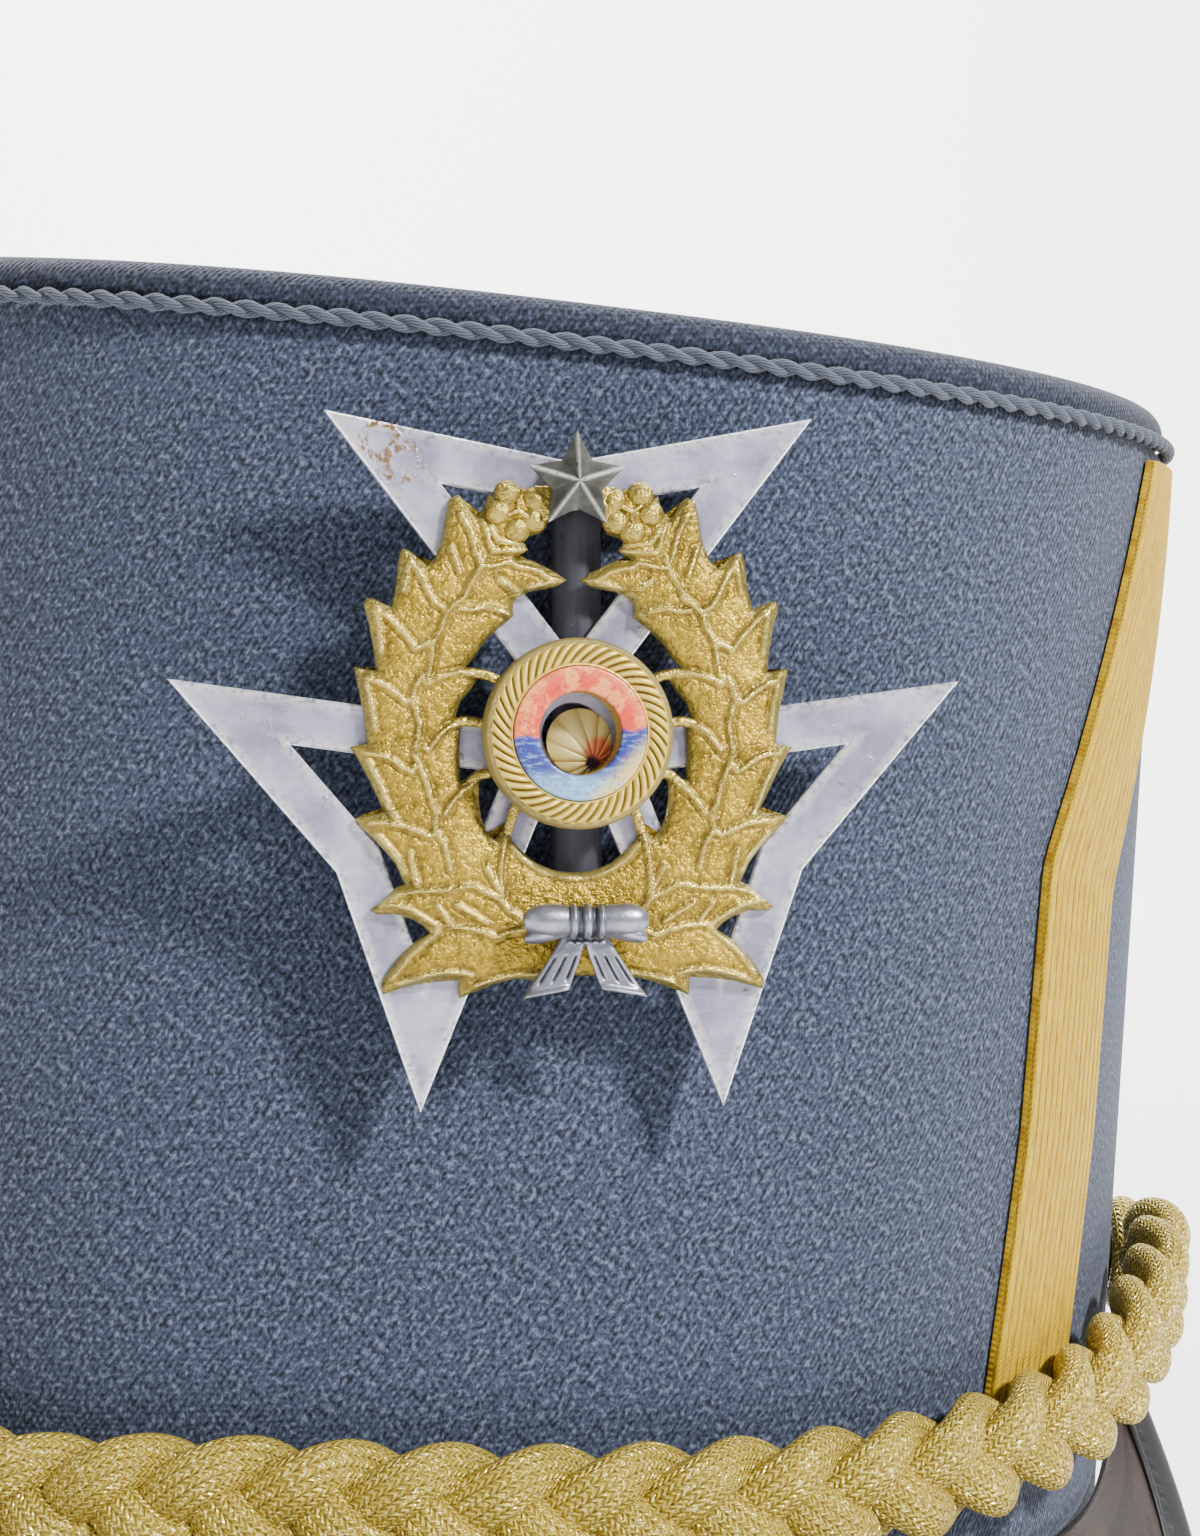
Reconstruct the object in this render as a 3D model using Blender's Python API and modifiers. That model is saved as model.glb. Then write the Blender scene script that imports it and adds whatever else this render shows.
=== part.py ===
"""Military dress cap with a cast badge, a plaited strap and a leather visor.

The frame is metres with +Z up. The cap stands by itself on the back of its lower rim and on the
front of its visor, its front faces -Y, and the origin is on the floor under the middle of its box.
Azimuths are degrees round the cap from the front, positive towards +X.
"""

import math

import bmesh
import bpy
from mathutils import Matrix, Vector

OBJECT_NAME = "military_dress_cap"
GAP = 0.0003
MERGE_DISTANCE = 0.00001

# Drum: an oval wall that narrows upward, cut lower at the back than at the front
BASE_HALF_WIDTH = 0.0875
BASE_HALF_LENGTH = 0.1040
TOP_HALF_WIDTH = 0.0820
TOP_HALF_LENGTH = 0.0940
OVAL_EXPONENT = 2.35
CORD_HEIGHT = 0.1460
FRONT_RISE = 0.0280
WALL_THICKNESS = 0.0025
DRUM_COLUMNS = 64

# Top panel, and the twisted cord in the seam below it
CROWN_RISE = 0.0042
CROWN_EDGE_RADIUS = 0.0026
CROWN_THICKNESS = 0.0022
CROWN_ARC_STEPS = 2
SEAM_CHAMFER_HEIGHT = 0.0009
SEAM_CHAMFER_DEPTH = 0.0007
RIM_CORD_RADIUS = 0.00085

# Flat gold braid down each side of the front
BRAID_THICKNESS = 0.0012
BRAID_DROP = 0.1045
BRAID_STEPS = 4

# Visor with a bound edge
VISOR_HALF_ANGLE = 72.0
VISOR_REACH = 0.0400
VISOR_THICKNESS = 0.0020
VISOR_BULGE = 0.0020
VISOR_END_RISE = 0.0190
VISOR_SIDE_POWER = 1.6
VISOR_CORNER_POWER = 1.0
VISOR_COLUMNS = 32
VISOR_ROWS = 5
BINDING_RADIUS = 0.0016
BINDING_SHARE = 0.995
BINDING_POINTS = 44

# Plaited front strap of three soft strands, held by a button on each side
STRAP_PERIOD = 0.0282
STRAP_SWING = 0.0047
STRAP_LIFT = 0.0022
STRAND_HALF_WIDTH = 0.0018
STRAND_HALF_DEPTH = 0.0014
STRAP_END_ANGLE = 73.0
STRAP_STEPS = 600
STRAND_RINGS = 84
STRAND_SIDES = 6
EYE_RADIUS = 0.0050
EYE_CORD_RADIUS = 0.0021
EYE_ANGLE = 78.5
EYE_LAYER = 0.0042
EYE_SEGMENTS = 18
EYE_SIDES = 7
BUTTON_SHANK_RADIUS = 0.0022
BUTTON_HEAD_RADIUS = 0.0050
BUTTON_HEAD_HEIGHT = 0.0022
BUTTON_CROWN_RADIUS = 0.0030
BUTTON_CROWN_RISE = 0.0018
BUTTON_RIM_RISE = 0.0007
BUTTON_SIDES = 16

# Badge: plate, wreath casting, medallion, star, bow and the socket behind them
BADGE_AZIMUTH = 0.0
BADGE_HEIGHT = 0.7425 * CORD_HEIGHT
BADGE_TURN = 5.3
PLATE_RADIUS = 0.0380
PLATE_HALF_ANGLE = 37.7
PLATE_NOTCH_RADIUS = 0.0256
PLATE_BAND_WIDTH = 0.0045
PLATE_HUB_RADIUS = 0.0082
PLATE_HUB_HOLE_RADIUS = 0.0029
PLATE_HUB_HOLE_CORNERS = 12
PLATE_THICKNESS = 0.0010
SOCKET_RADIUS = 0.00235
SOCKET_WALL = 0.0006
SOCKET_PLACE = (0.0010, 0.0212)
SOCKET_LENGTH = 0.0362
SOCKET_SIDES = 14
WREATH_HALF_WIDTH = 0.0208
WREATH_EDGE_HEIGHT = 0.0009
WREATH_SPINE_HEIGHT = 0.0021
BLOSSOM_RADIUS = 0.0026
BLOSSOM_CROWN_SHARE = 0.7
BLOSSOM_SIDES = 10
BLOSSOM_PLACE = (0.0058, 0.0213)
MEDALLION_RADIUS = 0.0089
MEDALLION_HEIGHT = 0.0034
MEDALLION_BEVEL = 0.0008
MEDALLION_FOOT = 0.0004
MEDALLION_SIDES = 32
MEDALLION_SEAT_HEIGHT = 0.0009
SEAT_INSET = 0.0005
SEAT_SIDES = 24
BRIDGE_DEPTH_SHARE = 0.96
SEAM_LIFT = 0.00005
ENAMEL_RADIUS = 0.0064
ENAMEL_THICKNESS = 0.0006
ENAMEL_DEPTH = 0.0010
BORE_RADIUS = 0.00385
STAR_RADIUS = 0.0047
STAR_WAIST = 0.52
STAR_HEIGHT = 0.0019
STAR_EDGE_HEIGHT = 0.0005
STAR_PLACE = 0.0234
BOW_PLACE = (0.0005, -0.0174)
BOW_HALF_WIDTH = 0.0060
BOW_HEIGHT = 0.0016
BOW_LOOP_SHARE = 0.62
BOW_LOOP_DEPTH = 0.0018
BOW_LOOP_SEGMENTS = 12
BOW_LOOP_RINGS = 8
BOW_KNOT_SIZE = (0.0024, 0.0038, 0.0027)
BOW_TAIL_SIZE = (0.0022, 0.0064, 0.0009)
BOW_TAIL_LIFT = 0.0012
BOW_TAIL_ANGLE = 24.0
BOW_TAIL_FLARE = 1.45
SHELL_PLACE = (0.0005, -0.0007)
SHELL_RADIUS = 0.0031
SHELL_HEIGHT = 0.0012
SHELL_EDGE_HEIGHT = 0.0004
SHELL_FLUTE_SHARE = 0.92
SHELL_RIBS = 9

# Heights of the strap's middle line, as shares of CORD_HEIGHT: it hangs lower on one side
STRAP_ROUTE = (
    # azimuth, height
    (-84.0, 0.322),
    (-70.0, 0.328),
    (-56.0, 0.272),
    (-42.0, 0.234),
    (-26.0, 0.221),
    (-14.0, 0.236),
    (3.0, 0.247),
    (20.0, 0.263),
    (33.0, 0.281),
    (45.0, 0.303),
    (56.0, 0.336),
    (70.0, 0.357),
    (84.0, 0.318),
)

# Corners of the flat braid: azimuths of its two edges, with depths as shares of BRAID_DROP
SIDE_BRAID_CORNERS = (
    # front azimuth, front depth, rear azimuth, rear depth
    (53.0, 0.022, 66.0, 0.022),
    (37.2, 0.445, 48.4, 0.470),
    (36.4, 0.720, 47.4, 0.730),
    (33.7, 1.000, 44.2, 1.000),
)

# Half of the wreath from its top to the bow, as shares of WREATH_HALF_WIDTH
WREATH_ROWS = (
    # outer x, outer y, spine x, spine y, inner x, inner y
    (0.38, 1.13, 0.30, 1.00, 0.18, 0.92),
    (0.52, 1.06, 0.40, 0.90, 0.27, 0.80),
    (0.56, 0.90, 0.44, 0.80, 0.06, 0.70),
    (0.77, 0.82, 0.53, 0.72, 0.32, 0.62),
    (0.70, 0.74, 0.58, 0.62, 0.29, 0.55),
    (0.92, 0.58, 0.64, 0.52, 0.46, 0.40),
    (0.855, 0.55, 0.67, 0.42, 0.39, 0.285),
    (0.985, 0.28, 0.70, 0.26, 0.52, 0.15),
    (0.905, 0.27, 0.71, 0.14, 0.45, 0.034),
    (1.00, -0.053, 0.72, -0.02, 0.53, -0.11),
    (0.93, -0.077, 0.71, -0.18, 0.40, -0.216),
    (0.97, -0.394, 0.68, -0.36, 0.44, -0.36),
    (0.87, -0.428, 0.62, -0.52, 0.28, -0.40),
    (0.94, -0.74, 0.54, -0.66, 0.24, -0.52),
    (0.785, -0.865, 0.42, -0.76, 0.16, -0.58),
    (0.91, -1.087, 0.30, -0.81, 0.09, -0.61),
    (0.53, -1.14, 0.16, -0.82, 0.04, -0.62),
    (0.00, -0.98, 0.00, -0.80, 0.00, -0.62),
)

# Struts from the medallion's seat to the wreath, as angles from its upright
STRUT_ANGLES = (57.0, 88.0, 115.0, 145.0)
STRUT_HALF_WIDTH = 0.0006
STRUT_LENGTH = 0.0042

# Layers of the badge, measured out from the wall
SOCKET_LAYER = GAP + SOCKET_RADIUS
PLATE_LAYER = SOCKET_LAYER + SOCKET_RADIUS + GAP + PLATE_THICKNESS / 2
WREATH_LAYER = PLATE_LAYER + PLATE_THICKNESS / 2 + GAP
MEDALLION_LAYER = WREATH_LAYER + MEDALLION_SEAT_HEIGHT + GAP
RELIEF_LAYER = WREATH_LAYER + WREATH_SPINE_HEIGHT + GAP
STRAP_LAYER = GAP + BRAID_THICKNESS + GAP + STRAP_LIFT + STRAND_HALF_DEPTH


def oval_point(azimuth, height, offset=0.0):
    """Point on the drum's outer face, at an azimuth in degrees, moved out by offset."""
    taper = height / CORD_HEIGHT
    half_width = BASE_HALF_WIDTH + (TOP_HALF_WIDTH - BASE_HALF_WIDTH) * taper + offset
    half_length = BASE_HALF_LENGTH + (TOP_HALF_LENGTH - BASE_HALF_LENGTH) * taper + offset
    return Vector((half_width * oval_share(math.sin(math.radians(azimuth))),
                   -half_length * oval_share(math.cos(math.radians(azimuth))),
                   height))


def oval_share(value):
    """Share of a half-axis that the oval reaches, with the sign of value."""
    return math.copysign(abs(value) ** (2.0 / OVAL_EXPONENT), value)


def oval_normal(azimuth, height):
    """Unit vector that points out of the drum's face."""
    step = 0.5
    along = oval_point(azimuth + step, height) - oval_point(azimuth - step, height)
    upward = oval_point(azimuth, height + 0.01) - oval_point(azimuth, height)
    return along.cross(upward).normalized()


def rim_height(azimuth):
    """Height of the drum's lower edge, which climbs from the back to the front."""
    # The wall leans in, so its inner edge lies this much below its outer one
    lean = WALL_THICKNESS * (BASE_HALF_LENGTH - TOP_HALF_LENGTH) / CORD_HEIGHT
    return lean + FRONT_RISE * (1.0 + oval_share(math.cos(math.radians(azimuth)))) / 2


def smooth_between(table, place):
    """Value at a place in a table of (place, value) rows, on a smooth curve through its rows."""
    index = max(1, min(len(table) - 2, sum(row[0] <= place for row in table) - 1))
    index = min(index, len(table) - 3)
    before, low, high, after = (table[index + step] for step in (-1, 0, 1, 2))
    share = (place - low[0]) / (high[0] - low[0])
    slope_low = (high[1] - before[1]) / (high[0] - before[0]) * (high[0] - low[0])
    slope_high = (after[1] - low[1]) / (after[0] - low[0]) * (high[0] - low[0])
    square, cube = share ** 2, share ** 3
    return ((2 * cube - 3 * square + 1) * low[1] + (cube - 2 * square + share) * slope_low
            + (3 * square - 2 * cube) * high[1] + (cube - square) * slope_high)


def collection_named(name):
    """New collection linked to the scene."""
    made = bpy.data.collections.new(name)
    bpy.context.scene.collection.children.link(made)
    return made


def material(name, colour, roughness, metallic):
    """Principled material with one colour."""
    made = bpy.data.materials.new(name)
    made.use_nodes = True
    shader = made.node_tree.nodes["Principled BSDF"]
    shader.inputs["Base Color"].default_value = (*colour, 1.0)
    shader.inputs["Roughness"].default_value = roughness
    shader.inputs["Metallic"].default_value = metallic
    made.diffuse_color = (*colour, 1.0)
    return made


def add_part(name, data, finish, smooth_angle=35.0):
    """Named object of the cap with its own material."""
    made = bpy.data.objects.new(name, data)
    PARTS.objects.link(made)
    data.materials.append(finish)
    if isinstance(data, bpy.types.Mesh):
        data.shade_smooth()
        data.set_sharp_from_angle(angle=math.radians(smooth_angle))
    return made


def add_guide(name, data):
    """Object that only cuts or joins another one."""
    made = bpy.data.objects.new(name, data)
    GUIDES.objects.link(made)
    made.hide_render = True
    made.display_type = "WIRE"
    return made


def grid_mesh(name, columns, rows, place, fill_ends=False):
    """Grid whose vertices go where place(column, row) puts them, welded where they meet."""
    work = bmesh.new()
    bmesh.ops.create_grid(work, x_segments=columns, y_segments=rows, size=0.5)
    for vertex in work.verts:
        column = round((vertex.co.x + 0.5) * columns)
        row = round((vertex.co.y + 0.5) * rows)
        vertex.co = place(column, row)
    bmesh.ops.remove_doubles(work, verts=work.verts, dist=MERGE_DISTANCE)
    if fill_ends:
        bmesh.ops.holes_fill(work, edges=work.edges, sides=0)
    made = bpy.data.meshes.new(name)
    work.to_mesh(made)
    work.free()
    return made


def thicken(piece, thickness, offset):
    """Solidify an open surface, to one side of it."""
    wall = piece.modifiers.new("wall", "SOLIDIFY")
    wall.thickness = thickness
    wall.offset = offset
    wall.use_even_offset = True


def tube_curve(name, points, radius, cyclic):
    """Curve through points with a round section."""
    curve = bpy.data.curves.new(name, "CURVE")
    curve.dimensions = "3D"
    curve.bevel_depth = radius
    curve.bevel_resolution = 2
    curve.use_fill_caps = not cyclic
    curve.twist_mode = "Z_UP"
    spline = curve.splines.new("POLY")
    spline.points.add(len(points) - 1)
    for target, point in zip(spline.points, points):
        target.co = (*point, 1.0)
    spline.use_cyclic_u = cyclic
    return curve


def outline_curve(name, outlines, thickness):
    """Flat plate from closed outlines: the first is its edge and the rest are holes."""
    curve = bpy.data.curves.new(name, "CURVE")
    curve.dimensions = "2D"
    curve.fill_mode = "BOTH"
    curve.extrude = thickness / 2
    for outline in outlines:
        spline = curve.splines.new("POLY")
        spline.points.add(len(outline) - 1)
        for target, point in zip(spline.points, outline):
            target.co = (point[0], point[1], 0.0, 1.0)
        spline.use_cyclic_u = True
    return curve


def turned_mesh(name, profile, sides):
    """Body turned about local Z from (radius, height) pairs that run down its outer side."""
    def place(column, row):
        radius, height = profile[row % len(profile)]
        angle = 2 * math.pi * column / sides
        return Vector((radius * math.cos(angle), radius * math.sin(angle), height))
    made = grid_mesh(name, sides, len(profile), place)
    face_outward(made)
    return made


def face_outward(mesh):
    """Turn the faces of a closed mesh to point out."""
    work = bmesh.new()
    work.from_mesh(mesh)
    bmesh.ops.recalc_face_normals(work, faces=work.faces)
    work.to_mesh(mesh)
    work.free()


def polar(radius, degrees):
    """Flat point at a radius and an angle counted from local +X."""
    return (radius * math.cos(math.radians(degrees)), radius * math.sin(math.radians(degrees)))


def build_drum():
    """Cloth wall of the cap, with a chamfer at its top for the cord."""
    top = CORD_HEIGHT - GAP / 2
    straight_rows = 3

    def place(column, row):
        azimuth = -360.0 * column / DRUM_COLUMNS
        if row > straight_rows:
            return oval_point(azimuth, top, -SEAM_CHAMFER_DEPTH)
        low = rim_height(azimuth)
        high = top - SEAM_CHAMFER_HEIGHT
        return oval_point(azimuth, low + (high - low) * row / straight_rows)

    mesh = grid_mesh("body_shell", DRUM_COLUMNS, straight_rows + 1, place)
    mesh.flip_normals()
    wall = add_part("body_shell", mesh, material("cloth", (0.065, 0.095, 0.165), 0.9, 0.0))
    thicken(wall, WALL_THICKNESS, -1.0)


def build_crown():
    """Top panel with a rounded edge that turns down onto the drum."""
    rows = [(SEAM_CHAMFER_DEPTH, GAP / 2), (0.0, SEAM_CHAMFER_HEIGHT)]
    for step in range(CROWN_ARC_STEPS + 1):
        angle = math.pi / 2 * step / CROWN_ARC_STEPS
        rows.append((CROWN_EDGE_RADIUS * (1.0 - math.cos(angle)),
                     CROWN_RISE - CROWN_EDGE_RADIUS * (1.0 - math.sin(angle))))

    def place(column, row):
        inset, rise = rows[row]
        point = oval_point(-360.0 * column / DRUM_COLUMNS, CORD_HEIGHT, -inset)
        return point + Vector((0.0, 0.0, rise))

    mesh = grid_mesh("crown_top", DRUM_COLUMNS, len(rows) - 1, place)
    work = bmesh.new()
    work.from_mesh(mesh)
    upper = [edge for edge in work.edges if edge.is_boundary
             and edge.verts[0].co.z > CORD_HEIGHT + CROWN_RISE - GAP]
    bmesh.ops.edgeloop_fill(work, edges=upper)
    bmesh.ops.recalc_face_normals(work, faces=work.faces)
    work.to_mesh(mesh)
    work.free()
    panel = add_part("crown_top", mesh, material("crown_cloth", (0.06, 0.088, 0.15), 0.9, 0.0))
    thicken(panel, CROWN_THICKNESS, -1.0)


def build_rim_cord():
    """Twisted cord laid in the seam between the drum and the top panel."""
    slope = math.atan2(SEAM_CHAMFER_DEPTH, SEAM_CHAMFER_HEIGHT)
    offset = (RIM_CORD_RADIUS + GAP) / math.cos(slope) - SEAM_CHAMFER_HEIGHT * math.tan(slope)
    points = [oval_point(360.0 * index / DRUM_COLUMNS, CORD_HEIGHT, offset)
              for index in range(DRUM_COLUMNS)]
    add_part("rim_cord", tube_curve("rim_cord", points, RIM_CORD_RADIUS, True),
             material("cord_cloth", (0.045, 0.058, 0.085), 0.85, 0.0))


def build_side_braids():
    """Flat gold braid down each side, leaning back above and upright below."""
    gold = material("gold_braid", (0.62, 0.40, 0.10), 0.6, 0.0)
    spans = len(SIDE_BRAID_CORNERS) - 1
    across = 4
    for name, side in (("side_braid_right", 1.0), ("side_braid_left", -1.0)):
        def place(column, row):
            index = min(row // BRAID_STEPS, spans - 1)
            share = row / BRAID_STEPS - index
            low, high = SIDE_BRAID_CORNERS[index], SIDE_BRAID_CORNERS[index + 1]
            front_azimuth, front_depth, rear_azimuth, rear_depth = (
                a + (b - a) * share for a, b in zip(low, high))
            width = column / across
            azimuth = front_azimuth + (rear_azimuth - front_azimuth) * width
            depth = front_depth + (rear_depth - front_depth) * width
            return oval_point(side * azimuth, CORD_HEIGHT - BRAID_DROP * depth, GAP)

        mesh = grid_mesh(name, across, spans * BRAID_STEPS, place)
        if side > 0:
            mesh.flip_normals()
        thicken(add_part(name, mesh, gold), BRAID_THICKNESS, 1.0)


def visor_drop():
    """Fall of the visor from its root to its edge that sets the binding down on the floor."""
    drop = root_height = rim_height(0.0)
    for _ in range(8):
        slope = math.atan2(drop + math.pi * VISOR_BULGE, VISOR_REACH)
        drop = (root_height - BINDING_RADIUS - (GAP + BINDING_RADIUS) * math.sin(slope)
                - VISOR_THICKNESS / 2 * math.cos(slope))
    return drop


def visor_root_height(azimuth):
    """Height of the visor's root, which climbs above the drum's lower edge towards its ends."""
    return rim_height(azimuth) + VISOR_END_RISE * abs(azimuth / VISOR_HALF_ANGLE) ** 4


def visor_root(azimuth):
    """Point on the visor's upper face beside the wall of the drum."""
    slope = math.atan2(FRONT_RISE, VISOR_REACH)
    return oval_point(azimuth, visor_root_height(azimuth),
                      GAP + VISOR_THICKNESS * math.sin(slope))


def visor_direction(azimuth):
    """Level direction in which the visor runs out, between square to the wall and forward."""
    outward = oval_normal(azimuth, visor_root_height(azimuth))
    outward.z = 0.0
    return (outward.normalized() + Vector((0.0, -1.0, 0.0))).normalized()


def visor_point(share, out):
    """Point on the visor's upper face: share runs from side to side, out from root to edge."""
    azimuth = VISOR_HALF_ANGLE * share
    width = 1.0 - abs(share) ** VISOR_SIDE_POWER
    reach = VISOR_REACH * width ** VISOR_CORNER_POWER
    drop = reach / VISOR_REACH * visor_drop()
    bulge = VISOR_BULGE * width * math.sin(math.pi * out)
    return (visor_root(azimuth) + visor_direction(azimuth) * reach * out
            + Vector((0.0, 0.0, bulge - drop * out)))


def build_visor():
    """Leather visor and the binding along its front edge. Returns the binding's foremost y."""
    def place(column, row):
        return visor_point(2.0 * column / VISOR_COLUMNS - 1.0, row / VISOR_ROWS)

    mesh = grid_mesh("visor", VISOR_COLUMNS, VISOR_ROWS, place)
    mesh.flip_normals()
    black = material("patent_leather", (0.012, 0.010, 0.010), 0.15, 0.0)
    thicken(add_part("visor", mesh, black), VISOR_THICKNESS, -1.0)

    step = 0.002
    points = []
    for index in range(BINDING_POINTS):
        # Points lie closer together towards the ends, where the edge turns in to the wall
        share = BINDING_SHARE * math.sin(math.pi * (index / (BINDING_POINTS - 1) - 0.5))
        edge = visor_point(share, 1.0)
        along = (visor_point(share + step, 1.0) - visor_point(share - step, 1.0)).normalized()
        outward = edge - visor_point(share, 1.0 - step)
        outward = (outward - along * outward.dot(along)).normalized()
        upward = outward.cross(along)
        points.append(edge + outward * (GAP + BINDING_RADIUS) - upward * VISOR_THICKNESS / 2)
    add_part("visor_binding", tube_curve("visor_binding", points, BINDING_RADIUS, False),
             material("binding_leather", (0.015, 0.014, 0.015), 0.35, 0.0))
    return min(point.y for point in points) - BINDING_RADIUS


def strap_frame(azimuth):
    """Point on the strap's middle line, with the directions along, up and out of the strap."""
    def middle(angle):
        return oval_point(angle, CORD_HEIGHT * smooth_between(STRAP_ROUTE, angle), STRAP_LAYER)
    step = 0.5
    along = (middle(azimuth + step) - middle(azimuth - step)).normalized()
    outward = oval_normal(azimuth, CORD_HEIGHT * smooth_between(STRAP_ROUTE, azimuth))
    upward = outward.cross(along).normalized()
    return middle(azimuth), along, upward, along.cross(upward)


def strap_samples(count):
    """Strap frames at equal steps along the strap, each with its distance from one end."""
    fine = [STRAP_END_ANGLE * (2 * index / STRAP_STEPS - 1) for index in range(STRAP_STEPS + 1)]
    distances = [0.0]
    for low, high in zip(fine, fine[1:]):
        distances.append(distances[-1] + (strap_frame(high)[0] - strap_frame(low)[0]).length)
    samples = []
    index = 0
    for sample in range(count):
        wanted = distances[-1] * sample / (count - 1)
        while index < len(fine) - 2 and distances[index + 1] < wanted:
            index += 1
        share = (wanted - distances[index]) / (distances[index + 1] - distances[index])
        azimuth = fine[index] + (fine[index + 1] - fine[index]) * share
        samples.append((wanted, strap_frame(azimuth)))
    return samples


def build_strap():
    """Three strands that swing up and down and pass over and under each other."""
    gold = material("gold_plait", (0.50, 0.38, 0.13), 0.5, 0.2)
    samples = strap_samples(STRAND_RINGS)
    for strand in range(3):
        centres = []
        for distance, (middle, _, upward, outward) in samples:
            phase = 2 * math.pi * (distance / STRAP_PERIOD + strand / 3)
            centres.append(middle + upward * STRAP_SWING * math.sin(phase)
                           + outward * STRAP_LIFT * math.sin(2 * phase))

        def place(column, row):
            before = centres[max(row - 1, 0)]
            after = centres[min(row + 1, STRAND_RINGS - 1)]
            along = (after - before).normalized()
            across = samples[row][1][3].cross(along).normalized()
            outward = along.cross(across)
            angle = 2 * math.pi * column / STRAND_SIDES
            return (centres[row] + across * STRAND_HALF_WIDTH * math.cos(angle)
                    + outward * STRAND_HALF_DEPTH * math.sin(angle))

        name = f"strap_strand_{strand + 1}"
        mesh = grid_mesh(name, STRAND_SIDES, STRAND_RINGS - 1, place, fill_ends=True)
        face_outward(mesh)
        add_part(name, mesh, gold)


def build_strap_ends():
    """Cord eye at each end of the strap, and the button whose shank passes through it."""
    gold = material("gold_eye", (0.50, 0.38, 0.13), 0.5, 0.2)
    brass = material("button_brass", (0.55, 0.40, 0.16), 0.35, 0.9)
    head_base = EYE_LAYER + EYE_CORD_RADIUS + GAP
    profile = [
        (0.0, head_base + BUTTON_HEAD_HEIGHT),
        (BUTTON_CROWN_RADIUS, head_base + BUTTON_CROWN_RISE),
        (BUTTON_HEAD_RADIUS, head_base + BUTTON_RIM_RISE),
        (BUTTON_HEAD_RADIUS, head_base),
        (BUTTON_SHANK_RADIUS, head_base),
        (BUTTON_SHANK_RADIUS, GAP),
        (0.0, GAP),
    ]
    for side, label in ((1.0, "right"), (-1.0, "left")):
        height = CORD_HEIGHT * smooth_between(STRAP_ROUTE, side * EYE_ANGLE)
        outward = oval_normal(side * EYE_ANGLE, height)
        turn = outward.to_track_quat("Z", "Y")
        base = oval_point(side * EYE_ANGLE, height)
        bpy.ops.mesh.primitive_torus_add(major_radius=EYE_RADIUS, minor_radius=EYE_CORD_RADIUS,
                                         major_segments=EYE_SEGMENTS, minor_segments=EYE_SIDES)
        torus = bpy.context.active_object
        mesh = torus.data
        bpy.data.objects.remove(torus)
        eye = add_part(f"strap_eye_{label}", mesh, gold)
        button = add_part(f"side_button_{label}",
                          turned_mesh(f"side_button_{label}", profile, BUTTON_SIDES), brass)
        for piece, layer in ((eye, EYE_LAYER), (button, 0.0)):
            piece.rotation_mode = "QUATERNION"
            piece.rotation_quaternion = turn
            piece.location = base + outward * layer


def badge_empty():
    """Empty on the wall at the badge: local Y up the badge, local Z out of the wall."""
    base = oval_point(BADGE_AZIMUTH, BADGE_HEIGHT)
    outward = oval_normal(BADGE_AZIMUTH, BADGE_HEIGHT)
    right = Vector((0.0, 0.0, 1.0)).cross(outward).normalized()
    upward = outward.cross(right)
    axes = Matrix((right, upward, outward)).transposed().to_4x4()
    made = bpy.data.objects.new("badge_frame", None)
    PARTS.objects.link(made)
    made.matrix_world = (Matrix.Translation(base) @ axes
                         @ Matrix.Rotation(math.radians(BADGE_TURN), 4, "Z"))
    return made


def fit_to_badge(piece, badge, place=(0.0, 0.0), layer=0.0):
    """Parent a piece to the badge's empty at a place and a layer of it."""
    piece.parent = badge
    piece.location = (place[0], place[1], layer)
    return piece


def plate_arm(axis):
    """Outline and hole of one arm, whose tail is notched, round an axis in degrees."""
    outline = [polar(PLATE_HUB_RADIUS, axis - PLATE_HALF_ANGLE),
               polar(PLATE_RADIUS, axis - PLATE_HALF_ANGLE),
               polar(PLATE_NOTCH_RADIUS, axis),
               polar(PLATE_RADIUS, axis + PLATE_HALF_ANGLE),
               polar(PLATE_HUB_RADIUS, axis + PLATE_HALF_ANGLE),
               polar(PLATE_HUB_RADIUS, axis + 60.0)]
    half = math.radians(PLATE_HALF_ANGLE)
    tip = Vector((PLATE_RADIUS * math.cos(half), PLATE_RADIUS * math.sin(half)))
    tail = (tip - Vector((PLATE_NOTCH_RADIUS, 0.0))).normalized()
    inner = PLATE_BAND_WIDTH / math.sin(half)
    notch = PLATE_NOTCH_RADIUS - PLATE_BAND_WIDTH / tail.y
    # Where the two inset edges meet: inner + s (cos, sin) equals notch + r (tail)
    share = ((notch - inner) * tail.y) / (math.cos(half) * tail.y - math.sin(half) * tail.x)
    corner = Vector((inner + share * math.cos(half), share * math.sin(half)))
    reach, spread = corner.length, math.degrees(math.atan2(corner.y, corner.x))
    hole = [polar(inner, axis), polar(reach, axis - spread), polar(notch, axis),
            polar(reach, axis + spread)]
    return outline, hole


def build_plate(badge):
    """Silver plate of three hollow arms with notched tails."""
    edge = []
    holes = []
    for axis in (90.0, 210.0, 330.0):
        outline, hole = plate_arm(axis)
        edge.extend(outline)
        holes.append(hole)
    holes.append([polar(PLATE_HUB_HOLE_RADIUS, 360.0 * index / PLATE_HUB_HOLE_CORNERS)
                  for index in range(PLATE_HUB_HOLE_CORNERS)])
    curve = outline_curve("badge_plate", [edge, *holes], PLATE_THICKNESS)
    plate = add_part("badge_plate", curve, material("silver", (0.45, 0.45, 0.52), 0.35, 0.9))
    fit_to_badge(plate, badge, layer=PLATE_LAYER)


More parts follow.
